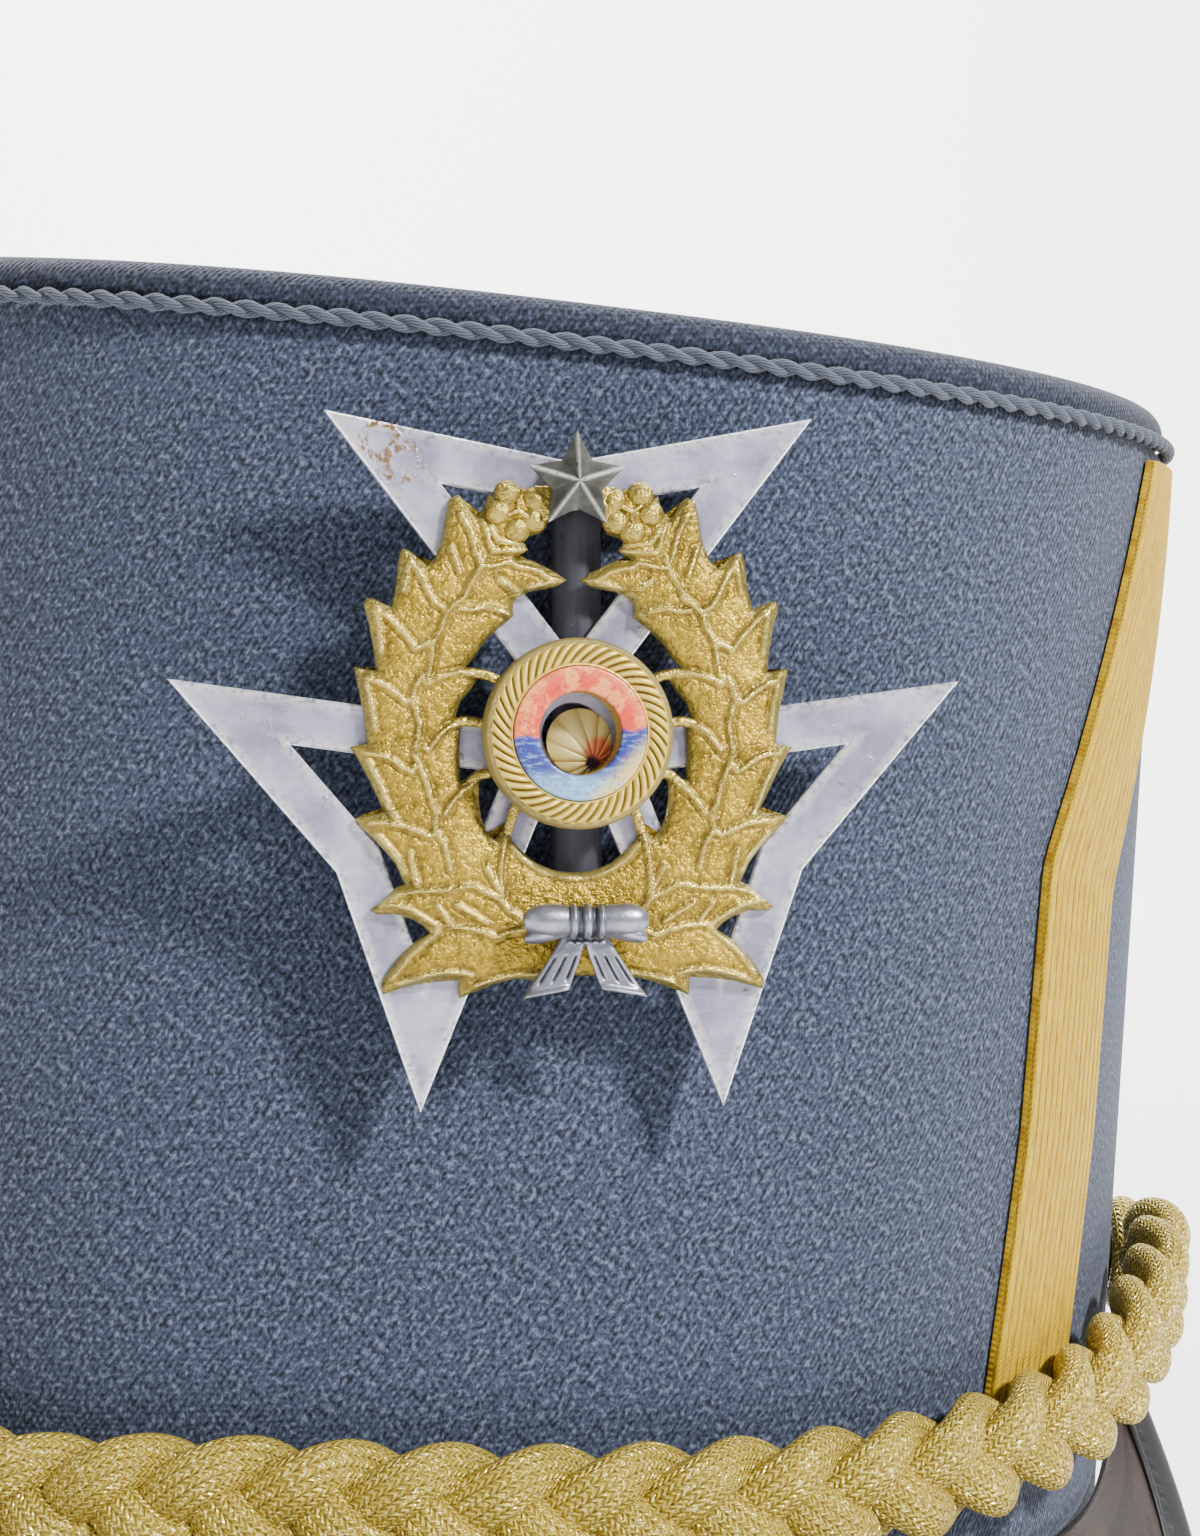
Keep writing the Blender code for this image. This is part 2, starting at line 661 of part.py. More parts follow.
def build_socket(badge):
    """Plume socket: an upright tube between the wall and the plate, open at its top."""
    bore = SOCKET_RADIUS - SOCKET_WALL
    profile = [(0.0, SOCKET_WALL - SOCKET_LENGTH), (bore, SOCKET_WALL - SOCKET_LENGTH),
               (bore, 0.0), (SOCKET_RADIUS, 0.0), (SOCKET_RADIUS, -SOCKET_LENGTH),
               (0.0, -SOCKET_LENGTH)]
    mesh = turned_mesh("plume_socket", profile, SOCKET_SIDES)
    socket = add_part("plume_socket", mesh, material("blued_steel", (0.03, 0.027, 0.035), 0.4, 0.7))
    fit_to_badge(socket, badge, SOCKET_PLACE, SOCKET_LAYER)
    socket.rotation_euler = (-math.pi / 2, 0.0, 0.0)


def wreath_branch():
    """Right branch of the wreath: a strip with a raised spine, open at the middle plane."""
    def place(column, row):
        outer_x, outer_y, spine_x, spine_y, inner_x, inner_y = WREATH_ROWS[row]
        section = ((outer_x, outer_y, 0.0), (outer_x, outer_y, WREATH_EDGE_HEIGHT),
                   (spine_x, spine_y, WREATH_SPINE_HEIGHT),
                   (inner_x, inner_y, WREATH_EDGE_HEIGHT), (inner_x, inner_y, 0.0))
        share_x, share_y, rise = section[column % len(section)]
        return Vector((share_x * WREATH_HALF_WIDTH, share_y * WREATH_HALF_WIDTH, rise))

    mesh = grid_mesh("badge_wreath", 5, len(WREATH_ROWS) - 1, place)
    work = bmesh.new()
    work.from_mesh(mesh)
    top_end = [edge for edge in work.edges if edge.is_boundary and edge.verts[0].co.x > GAP]
    bmesh.ops.edgeloop_fill(work, edges=top_end)
    bmesh.ops.recalc_face_normals(work, faces=work.faces)
    work.to_mesh(mesh)
    work.free()
    return mesh


def join_guides(piece, guides):
    """Join closed guides to a piece, each with a Boolean union."""
    for guide in guides:
        guide.parent = piece
        join = piece.modifiers.new("join", "BOOLEAN")
        join.operation = "UNION"
        join.solver = "EXACT"
        join.object = guide


def build_wreath(badge):
    """Wreath casting: two branches, two blossoms, a bridge, and a seat ring held by struts."""
    brass = material("brass", (0.40, 0.28, 0.09), 0.45, 0.8)
    wreath = add_part("badge_wreath", wreath_branch(), brass)
    fit_to_badge(wreath, badge, layer=WREATH_LAYER)
    mirror = wreath.modifiers.new("other_branch", "MIRROR")
    mirror.merge_threshold = 0.00005

    outer = MEDALLION_RADIUS - SEAT_INSET
    inner = BORE_RADIUS + SEAT_INSET
    seat = [(outer, MEDALLION_SEAT_HEIGHT), (outer, SEAM_LIFT), (inner, SEAM_LIFT),
            (inner, MEDALLION_SEAT_HEIGHT)]
    guides = [add_guide("seat_ring", turned_mesh("seat_ring", seat, SEAT_SIDES))]
    strut_depth = MEDALLION_SEAT_HEIGHT - SEAM_LIFT * 3
    for angle in STRUT_ANGLES:
        for side in (1.0, -1.0):
            x, y = polar(outer + STRUT_LENGTH / 2 - SEAT_INSET * 2, 90.0 - side * angle)
            guides.append(box_guide((STRUT_HALF_WIDTH * 2, STRUT_LENGTH, strut_depth),
                                    (x, y, strut_depth / 2 + SEAM_LIFT * 2), -side * angle))
    bridge_depth = WREATH_SPINE_HEIGHT * BRIDGE_DEPTH_SHARE
    guides.append(box_guide((BLOSSOM_PLACE[0] * 2, BLOSSOM_RADIUS, bridge_depth),
                            (0.0, BLOSSOM_PLACE[1], bridge_depth / 2 + SEAM_LIFT), 0.0))
    crown = BLOSSOM_RADIUS * BLOSSOM_CROWN_SHARE
    blossom = [(0.0, WREATH_SPINE_HEIGHT), (crown, WREATH_SPINE_HEIGHT - SEAM_LIFT * 8),
               (BLOSSOM_RADIUS, WREATH_EDGE_HEIGHT), (BLOSSOM_RADIUS, SEAM_LIFT * 3),
               (0.0, SEAM_LIFT * 3)]
    for side in (1.0, -1.0):
        guide = add_guide("wreath_blossom", turned_mesh("wreath_blossom", blossom, BLOSSOM_SIDES))
        guide.location = (side * BLOSSOM_PLACE[0], BLOSSOM_PLACE[1], 0.0)
        guides.append(guide)
    join_guides(wreath, guides)


def box_guide(size, place, turn):
    """Box that is joined to another piece, turned about local Z in degrees."""
    bpy.ops.mesh.primitive_cube_add(size=1.0)
    cube = bpy.context.active_object
    mesh = cube.data
    bpy.data.objects.remove(cube)
    mesh.transform(Matrix.Diagonal((*size, 1.0)))
    guide = add_guide("join_bar", mesh)
    guide.location = place
    guide.rotation_euler = (0.0, 0.0, math.radians(turn))
    return guide


def build_medallion(badge):
    """Medallion ring with a raised rope border, and the enamel ring in its recess."""
    brass = material("medallion_brass", (0.42, 0.31, 0.12), 0.4, 0.8)
    top = MEDALLION_HEIGHT
    recess = top - ENAMEL_DEPTH
    border = ENAMEL_RADIUS + GAP
    profile = [(border + MEDALLION_FOOT, top), (MEDALLION_RADIUS - MEDALLION_BEVEL, top),
               (MEDALLION_RADIUS, top - MEDALLION_BEVEL), (MEDALLION_RADIUS, MEDALLION_FOOT),
               (MEDALLION_RADIUS - MEDALLION_FOOT, 0.0), (BORE_RADIUS, 0.0),
               (BORE_RADIUS, recess), (border, recess), (border, top - MEDALLION_FOOT)]
    mesh = turned_mesh("badge_medallion", profile, MEDALLION_SIDES)
    fit_to_badge(add_part("badge_medallion", mesh, brass), badge, layer=MEDALLION_LAYER)
    ring = [(ENAMEL_RADIUS, ENAMEL_THICKNESS), (ENAMEL_RADIUS, 0.0), (BORE_RADIUS, 0.0),
            (BORE_RADIUS, ENAMEL_THICKNESS)]
    enamel = add_part("enamel_ring", turned_mesh("enamel_ring", ring, MEDALLION_SIDES),
                      material("enamel", (0.65, 0.16, 0.12), 0.35, 0.0))
    fit_to_badge(enamel, badge, layer=MEDALLION_LAYER + recess + GAP)


def build_centre_shell(badge):
    """Fluted shell behind the medallion's bore, seated on the plate's hub."""
    sides = 2 * SHELL_RIBS

    def place(column, row):
        if row == 0 or row == 3:
            return Vector((0.0, 0.0, SHELL_HEIGHT if row == 0 else 0.0))
        flute = 1.0 if column % 2 else SHELL_FLUTE_SHARE
        angle = 2 * math.pi * column / sides
        rise = SHELL_EDGE_HEIGHT if row == 1 else 0.0
        return Vector((SHELL_RADIUS * flute * math.cos(angle),
                       SHELL_RADIUS * flute * math.sin(angle), rise))

    mesh = grid_mesh("centre_shell", sides, 3, place)
    face_outward(mesh)
    shell = add_part("centre_shell", mesh, material("shell_brass", (0.55, 0.42, 0.18), 0.4, 0.8))
    fit_to_badge(shell, badge, SHELL_PLACE, WREATH_LAYER)


def build_star(badge):
    """Five-pointed star whose facets rise to its middle."""
    def place(column, row):
        if row == 0 or row == 3:
            return Vector((0.0, 0.0, STAR_HEIGHT if row == 0 else 0.0))
        radius = STAR_RADIUS * (1.0 if column % 2 == 0 else STAR_WAIST)
        x, y = polar(radius, 90.0 + 36.0 * column)
        return Vector((x, y, STAR_EDGE_HEIGHT if row == 1 else 0.0))

    mesh = grid_mesh("badge_star", 10, 3, place)
    face_outward(mesh)
    star = add_part("badge_star", mesh, material("pewter", (0.09, 0.09, 0.09), 0.45, 0.8), 10.0)
    fit_to_badge(star, badge, (0.0, STAR_PLACE), RELIEF_LAYER)


def build_bow(badge):
    """Ribbon bow: two loops, a knot and two tails that spread."""
    loop_length = BOW_HALF_WIDTH * BOW_LOOP_SHARE
    tail_length = BOW_TAIL_SIZE[1]
    guides = []
    for side in (1.0, -1.0):
        bpy.ops.mesh.primitive_uv_sphere_add(segments=BOW_LOOP_SEGMENTS,
                                             ring_count=BOW_LOOP_RINGS, radius=1.0)
        ball = bpy.context.active_object
        mesh = ball.data
        bpy.data.objects.remove(ball)
        mesh.transform(Matrix.Diagonal((loop_length, BOW_LOOP_DEPTH, BOW_HEIGHT, 1.0)))
        loop = add_guide("bow_loop", mesh)
        loop.location = (side * (BOW_HALF_WIDTH - loop_length), 0.0, BOW_HEIGHT)
        guides.append(loop)
        tail = box_guide(BOW_TAIL_SIZE, (side * BOW_TAIL_SIZE[0], -tail_length / 2, BOW_TAIL_LIFT),
                         side * BOW_TAIL_ANGLE)
        for corner in tail.data.vertices:
            if corner.co.y < 0:
                corner.co.x *= BOW_TAIL_FLARE
        guides.append(tail)
    guides.append(box_guide(BOW_KNOT_SIZE, (0.0, 0.0, BOW_HEIGHT * 1.2), 0.0))
    base = guides[0]
    bow = add_part("badge_bow", base.data, material("bow_silver", (0.25, 0.27, 0.29), 0.35, 0.9))
    bow.data.transform(Matrix.Translation(base.location))
    bpy.data.objects.remove(base)
    fit_to_badge(bow, badge, BOW_PLACE, RELIEF_LAYER)
    join_guides(bow, guides[1:])


for old in list(bpy.data.objects):
    bpy.data.objects.remove(old)

PARTS = collection_named(OBJECT_NAME)
GUIDES = collection_named("joined_pieces")

build_drum()
build_crown()
build_rim_cord()
build_side_braids()
FOREMOST = build_visor()
build_strap()
build_strap_ends()
BADGE = badge_empty()
build_plate(BADGE)
build_socket(BADGE)
build_wreath(BADGE)
build_medallion(BADGE)
build_centre_shell(BADGE)
build_star(BADGE)
build_bow(BADGE)

# The middle of the cap's length goes to the origin
for piece in PARTS.objects:
    if piece.parent is None:
        piece.location.y -= (FOREMOST + BASE_HALF_LENGTH) / 2
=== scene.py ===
"""Looks of a military dress cap: blue whipcord drum, gold braid, plaited strap and cast badge.

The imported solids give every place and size. Each new piece is a surface worked out on a grid in
metres, in the frame of the solids: its front faces -Y and the floor is at zero height. Azimuths
are degrees round the drum from its front, positive towards +X.
"""

import logging
import math
from dataclasses import dataclass, field
from enum import Enum

import bmesh
import bpy
import numpy as np
from mathutils import Matrix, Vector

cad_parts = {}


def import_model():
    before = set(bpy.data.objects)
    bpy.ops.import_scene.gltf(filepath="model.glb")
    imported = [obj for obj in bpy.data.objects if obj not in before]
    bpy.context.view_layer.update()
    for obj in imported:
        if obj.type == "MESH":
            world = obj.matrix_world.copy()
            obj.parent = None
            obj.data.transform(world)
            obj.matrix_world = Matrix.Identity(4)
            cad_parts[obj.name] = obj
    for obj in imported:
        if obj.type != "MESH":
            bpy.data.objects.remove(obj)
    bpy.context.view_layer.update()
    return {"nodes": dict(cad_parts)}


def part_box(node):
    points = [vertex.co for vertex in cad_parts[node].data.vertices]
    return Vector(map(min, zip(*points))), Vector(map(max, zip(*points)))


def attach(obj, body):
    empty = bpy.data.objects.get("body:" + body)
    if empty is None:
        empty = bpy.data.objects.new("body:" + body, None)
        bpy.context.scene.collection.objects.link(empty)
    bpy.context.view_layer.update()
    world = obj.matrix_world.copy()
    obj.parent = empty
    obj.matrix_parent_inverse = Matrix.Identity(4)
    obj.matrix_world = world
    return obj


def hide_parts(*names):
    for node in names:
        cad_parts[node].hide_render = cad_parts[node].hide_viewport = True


LOG = logging.getLogger("dress_cap")
MM = 0.001
GAP = 0.3 * MM
WELD = 1e-6
BADGE_HEIGHT_SHARE = 0.7425
BADGE_TURN = 5.3
Array = np.ndarray
Socket = bpy.types.NodeSocket

# Points x,y in mm of the wreath's right half. A slash parts two strokes. The rails are its outer
# edge, its stem and its inner edge, from its top down to the middle plane, and each stroke of a
# rail begins where the one before it ends.
WREATH_RAILS = (
    "8.1,22.4 8.4,21.2 9,20.3 9.6,20.5 10.1,21.6 10.9,22.3 / 11.7,21.9 12,20.5 12.2,19 12.5,17.7 "
    "13.1,16.3 13.9,15.6 / 14.5,15.9 15.1,16.7 15.6,17.1 16.1,17.2 / 16.4,16.4 16.5,15.2 16.7,13.7 "
    "17,12.5 17.2,11.7 / 17.9,12.1 18.7,12.5 19.4,12.6 / 19.7,12 19.3,10.6 19,9.1 18.7,7.4 18.6,5.8 / "
    "19.5,6 20.3,6.2 20.6,6.2 / 20.4,5.2 20.1,3.7 19.7,1.9 19.5,0.2 19.4,-0.9 / 20.1,-1 21,-1.2 / "
    "20.3,-2.2 19.6,-3.5 18.8,-5.1 18.1,-6.6 17.7,-7.3 / 19.1,-7.5 20.1,-7.6 20.5,-7.8 / 20,-8.6 "
    "18.8,-9.7 17.7,-10.9 16.8,-12.1 15.9,-14 / 16.7,-14.2 17.2,-14.7 18.2,-15.6 19.2,-16.3 / "
    "18.6,-16.7 16.7,-16.7 15.2,-17.2 14.1,-17.9 13.6,-18.5 / 14.7,-19.1 15.5,-19.7 16.6,-20.8 "
    "17.6,-22.2 18.2,-23.4 / 18,-24.1 17,-23.8 15.2,-23.3 13,-23 11,-22.9 / 10.9,-24.6 10.3,-24.3 "
    "8.9,-23.8 7.3,-23.2 / 5.6,-22.8 4.1,-23 2.1,-22.7 0,-22.6",
    "5.9,20.4 7.2,18.4 8.7,16.4 / 9.2,15.3 10.1,14.2 / 10.6,13.1 11.4,12.2 / 12,11.4 12.5,10.3 / "
    "12.8,9.4 13.3,8.6 / 13.6,7.3 13.9,6 / 14.6,4.7 15.3,3.4 / 15,2.2 14.8,1 14.8,-0.3 / 15,-1 "
    "15.1,-1.9 / 14.5,-3.4 13.8,-4.6 13.6,-5.6 / 13.3,-6.6 13.1,-7.5 / 13.1,-9 12.5,-10.5 11.6,-11.9 "
    "/ 11,-13.5 9.3,-15 / 8.1,-16 7,-17.1 / 6.5,-18 6.2,-18.8 / 5.6,-19.4 5,-20 / 4,-20.3 2.8,-20.3 / "
    "1.2,-19.9 0,-19.7",
    "3.1,18.8 4.4,18.4 4.8,18 4.3,17.2 / 5.5,16.4 4.1,16.3 2.8,15.7 1.6,15.1 0.6,14.4 / 1.6,13.8 "
    "3,13.5 4.2,13.3 5.2,12.8 5.8,12.1 5.7,11 / 6.3,10.5 7.2,9.8 8.3,8.7 / 8.8,8.1 9.2,7.4 / 9.7,6.8 "
    "10.2,6.2 / 9.6,6.2 9,6 8.5,5.6 / 9.3,4.8 9.9,3.9 10.7,3 11.1,1.9 11.1,1.3 / 10.7,1.2 10.1,1.1 / "
    "10.7,0.5 10.8,-1 10.8,-2.5 10.7,-4.3 / 9.9,-4.1 8.6,-3.6 / 9,-4.7 9,-6.2 8.8,-7.7 8.3,-9 "
    "7.4,-9.9 / 7,-9.4 6.7,-8.9 6.3,-8.1 / 6.2,-9 5.9,-9.9 5.1,-10.8 4.3,-11.5 / 3.5,-12.1 2.7,-12.45 "
    "/ 2.2,-12.65 1.7,-12.8 / 1.2,-12.87 0.8,-12.92 / 0.4,-12.95 0,-12.95",
)
# Middle ribs and creases of its leaves
WREATH_RIDGES = (
    "10.7,20.5 10.1,19.4 9.7,18.4 9.4,17.1 9,16.1 8.7,15.6 7.7,15.6 6.7,15.9 6,16.2 5.5,15.6 4.5,15.5 "
    "3.3,15.2 2.2,14.4 1.4,14.3 / 8.7,19.8 8.3,18.7 8.1,17.8 7.7,17 6.1,17.1 4.4,17 / 8,19.3 7.6,18.4 "
    "7.1,17.9 6.1,17.8 4.5,17.7 / 1.4,14.2 3,13.9 4.2,13.6 / 15.4,16.2 14.8,15.2 14.2,14.2 13.7,13.1 "
    "13.1,12.1 12.4,11.7 / 15.5,16 15.8,14.6 16,13.4 / 18.6,11.7 17.6,10.9 16.5,9.8 15.6,8.8 15,7.9 "
    "14.2,8.3 13.6,8.6 / 18.6,11.5 18.3,10 18.1,7.7 / 10.9,11.6 9.8,11.5 8.4,11.8 7.4,11.6 6.3,11.1 / "
    "8.6,16.4 9.2,15 10,13.9 10.3,12.8 11.5,12 12.2,11.1 12.5,9.9 13.3,8.6 13.5,7.1 13.8,5.4 / "
    "7.2,14.4 4.7,12.5 / 11.7,17.4 10.8,15 / 19.5,5.2 18.4,4.8 17.3,4.1 16.4,3.4 15.9,2.9 15.2,3.5 / "
    "19.5,4.7 19.1,3.1 18.7,0.5 / 19.7,-1.7 18.4,-1.9 17.2,-2.3 16.2,-3.1 15.4,-3.5 15,-2.9 / "
    "19.3,-2.5 18.2,-4.7 17.4,-6.9 16.8,-7.9 / 19.1,-8.2 17.7,-8.2 16.2,-8.5 14.9,-9 13.7,-9.5 "
    "13.1,-9 / 18.5,-9.3 17.5,-10.4 16.5,-11.7 16,-12.8 / 14.5,5.3 13.8,4.7 13,5.2 12.1,5.5 10.9,5.8 "
    "9.6,5.6 7,5.3 / 14.2,-1.2 13.8,-1.5 13.3,-0.8 12.5,0.2 11.6,0.8 10.4,1.1 8.7,1 / 12.3,-7.4 "
    "11.6,-6.3 10.7,-5.3 9.8,-4.6 8.7,-3.8 / 9,-4.9 8.8,-6.3 8.5,-7.8 7.5,-9.9 / 14.8,4.9 15.3,3.4 "
    "14.9,2.2 14.6,1 14.8,-0.3 15.1,-1.9 14.4,-3.4 13.8,-4.9 13.5,-6.3 13,-7.4 13.2,-8.9 12.3,-10.2 "
    "11.8,-12.5 / 18.2,-15.7 16.7,-14.8 14.9,-14.5 13,-14.5 11.2,-14.4 10.5,-14.1 9.4,-14.1 8.4,-14.7 "
    "7.1,-15.3 / 17.5,-15.7 15.8,-16.1 14.3,-17 12.9,-17.8 / 13,-18.1 11.8,-17.9 10.1,-18 8.5,-18.4 "
    "7.4,-18.9 6.7,-18.4 5.4,-18.2 4.3,-17.9 / 16.6,-23.1 14.7,-22.5 12.4,-22.1 10.9,-22.2 9.8,-22.4 "
    "/ 17.2,-22.5 15.6,-20.5 13.9,-19 13,-18.3 / 9.3,-23.3 7.8,-22.9 5.4,-22.5 3.2,-22.4 / 6.9,-15 "
    "7.1,-13.4 7,-11.8 6.7,-10.2 6.4,-8.9 / 5.9,-10.4 5.2,-11.3 4.3,-12 3.4,-12.6 2.2,-13.1 1,-13.4 "
    "0,-13.45 / 7.3,-15.1 6.3,-16.3 4.8,-17.4 / 8.4,-12.3 7.3,-14.4 / 15.5,-11 14.9,-13.8 / 13,-15.9 "
    "11.8,-17.5 / 11.2,-15.8 8.4,-17.5"
)


class Side(Enum):
    """Sides of the cap, as the sign of their X."""

    RIGHT = 1.0
    LEFT = -1.0


class Wire:
    """Number socket whose arithmetic adds Math nodes."""

    def __init__(self, shader: "Shader", socket: Socket) -> None:
        """Keep the number's socket, and the shader that new nodes go into."""
        self.shader = shader
        self.socket = socket

    def math(self, operation: str, *others: "Wire | float") -> "Wire":
        """Result of a Math node on this number and others."""
        inputs = dict(enumerate((self, *others)))
        return self.shader.wire("ShaderNodeMath", {"operation": operation}, inputs)

    def __add__(self, other: "Wire | float") -> "Wire":
        """Sum."""
        return self.math("ADD", other)

    __radd__ = __add__

    def __sub__(self, other: "Wire | float") -> "Wire":
        """Difference."""
        return self.math("SUBTRACT", other)

    def __rsub__(self, other: float) -> "Wire":
        """Difference from a number."""
        return (self * -1.0) + other

    def __mul__(self, other: "Wire | float") -> "Wire":
        """Product."""
        return self.math("MULTIPLY", other)

    __rmul__ = __mul__

    def __truediv__(self, other: "Wire | float") -> "Wire":
        """Quotient."""
        return self.math("DIVIDE", other)

    def ramp(self, low: float, high: float) -> "Wire":
        """Smooth step from 0 at low to 1 at high.

        Args:
            low: Value that gives 0.
            high: Value that gives 1.

        Returns:
            The step, which also falls where high is below low.
        """
        if high < low:
            return 1.0 - self.ramp(high, low)
        settings = {"interpolation_type": "SMOOTHSTEP"}
        inputs = {"Value": self, "From Min": low, "From Max": high}
        return self.shader.wire("ShaderNodeMapRange", settings, inputs)

    def wave(self) -> "Wire":
        """Round wave from 0 to 1 that repeats at each whole number."""
        return (self * (2 * math.pi)).math("SINE") * 0.5 + 0.5

    def fraction(self) -> "Wire":
        """Part after the whole number."""
        return self.math("FRACT")


class Shader:
    """Node material with one Principled shader."""

    def __init__(self, name: str) -> None:
        """Make an empty material.

        Args:
            name: Name of the material.
        """
        self.material = bpy.data.materials.new(name)
        self.material.use_nodes = True
        self.tree = self.material.node_tree
        self.surface = self.tree.nodes["Principled BSDF"]

    def node(self, kind: str, settings: dict | None = None,
             inputs: dict | None = None) -> bpy.types.Node:
        """Add a node.

        Args:
            kind: Blender's name of the node's type.
            settings: Properties, which are set first.
            inputs: Values or links by socket name or number.

        Returns:
            The node.
        """
        made = self.tree.nodes.new(kind)
        for key, value in (settings or {}).items():
            setattr(made, key, value)
        for key, value in (inputs or {}).items():
            self.feed(made.inputs[key], value)
        return made

    def wire(self, kind: str, settings: dict | None, inputs: dict, output: int | str = 0) -> "Wire":
        """Number from one output of a new node."""
        return Wire(self, self.node(kind, settings, inputs).outputs[output])

    def feed(self, target: Socket, value: object) -> None:
        """Link or set an input.

        Args:
            target: Input of a node.
            value: Wire, socket, number or tuple.
        """
        if isinstance(value, Wire):
            value = value.socket
        if isinstance(value, Socket):
            self.tree.links.new(value, target)
        else:
            target.default_value = value

    def set(self, **values: object) -> None:
        """Set or link inputs of the Principled shader, with _ for a space in a name."""
        for key, value in values.items():
            self.feed(self.surface.inputs[key.replace("_", " ")], value)

    def flat(self) -> tuple[Wire, Wire]:
        """Piece's own flat places.

        Returns:
            Both, in metres.
        """
        inputs = {0: self.node("ShaderNodeTexCoord").outputs["UV"]}
        parts = self.node("ShaderNodeSeparateXYZ", None, inputs).outputs
        return Wire(self, parts["X"]), Wire(self, parts["Y"])

    def attribute(self, name: str) -> Wire:
        """Value that the mesh carries at each vertex."""
        return self.wire("ShaderNodeAttribute", {"attribute_name": name}, {}, "Fac")

    def vector(self, x: Wire | float, y: Wire | float, z: Wire | float = 0.0) -> Socket:
        """Vector from three numbers."""
        return self.node("ShaderNodeCombineXYZ", None, {0: x, 1: y, 2: z}).outputs[0]

    def noise(self, scale: float, detail: float = 3.0, roughness: float = 0.6,
              place: Socket | None = None) -> Wire:
        """Soft noise about 0.5.

        Args:
            scale: Blotches in a metre.
            detail: Finer layers.
            roughness: Strength of the finer layers.
            place: Vector to read instead of the Object coordinates.

        Returns:
            The noise.
        """
        if place is None:
            place = self.node("ShaderNodeTexCoord").outputs["Object"]
        inputs = {"Vector": place, "Scale": scale, "Detail": detail, "Roughness": roughness}
        return self.wire("ShaderNodeTexNoise", None, inputs, "Fac")

    def spots(self, scale: float) -> Wire:
        """Distance to the nearest of scattered points, in cells, with scale cells in a metre."""
        inputs = {"Vector": self.node("ShaderNodeTexCoord").outputs["Object"], "Scale": scale}
        return self.wire("ShaderNodeTexVoronoi", None, inputs, "Distance")

    def blend(self, share: Wire | float, first: object, second: object) -> Socket:
        """Mix of two colours, where a share of 0 gives the first and 1 the second."""
        inputs = {0: share, 6: first, 7: second}
        return self.node("ShaderNodeMix", {"data_type": "RGBA"}, inputs).outputs[2]

    def bump(self, height: Wire, depth: float) -> Socket:
        """Normal of a surface raised by height times depth, in metres."""
        inputs = {"Strength": 1.0, "Distance": depth, "Height": height}
        return self.node("ShaderNodeBump", None, inputs).outputs[0]


def tone(red: int, green: int, blue: int) -> tuple[float, float, float, float]:
    """Shader colour from screen values.

    Args:
        red: From 0 to 255.
        green: From 0 to 255.
        blue: From 0 to 255.

    Returns:
        Linear colour: a share s above 0.04 becomes ((s + 0.055) / 1.055) to the power 2.4.
    """
    shares = np.array((red, green, blue)) / 255
    linear = np.where(shares > 0.04045, ((shares + 0.055) / 1.055) ** 2.4, shares / 12.92)
    return (*(float(value) for value in linear), 1.0)


@dataclass
class Patch:
    """Grid of points that is one surface of a piece.

    Attributes:
        points: Rows, columns and 3 coordinates in metres.
        flat: Rows, columns and 2 flat places in metres, which finishes read.
        values: Numbers at each point, by name.
        coats: Number of the finish of each row of faces.
    """

    points: Array
    flat: Array
    values: dict[str, Array] = field(default_factory=dict)
    coats: Array | None = None

    def volume(self) -> float:
        """Volume inside, from the sum of a . (b x c) / 6 over the triangles."""
        a, b, c, d = corners(self.points)
        return float(np.sum(a * np.cross(b, c)) + np.sum(a * np.cross(c, d))) / 6

    def outward(self) -> "Patch":
        """The patch, with its columns reversed where its faces would point inwards."""
        return self if self.volume() >= 0 else self.reversed()

    def reversed(self) -> "Patch":
        """The patch with its faces turned over."""
        values = {name: value[:, ::-1] for name, value in self.values.items()}
        return Patch(self.points[:, ::-1], self.flat[:, ::-1], values, self.coats)


def corners(grid: Array) -> tuple[Array, Array, Array, Array]:
    """Four corners of each cell of a grid, in the order of its face."""
    return grid[:-1, :-1], grid[1:, :-1], grid[1:, 1:], grid[:-1, 1:]


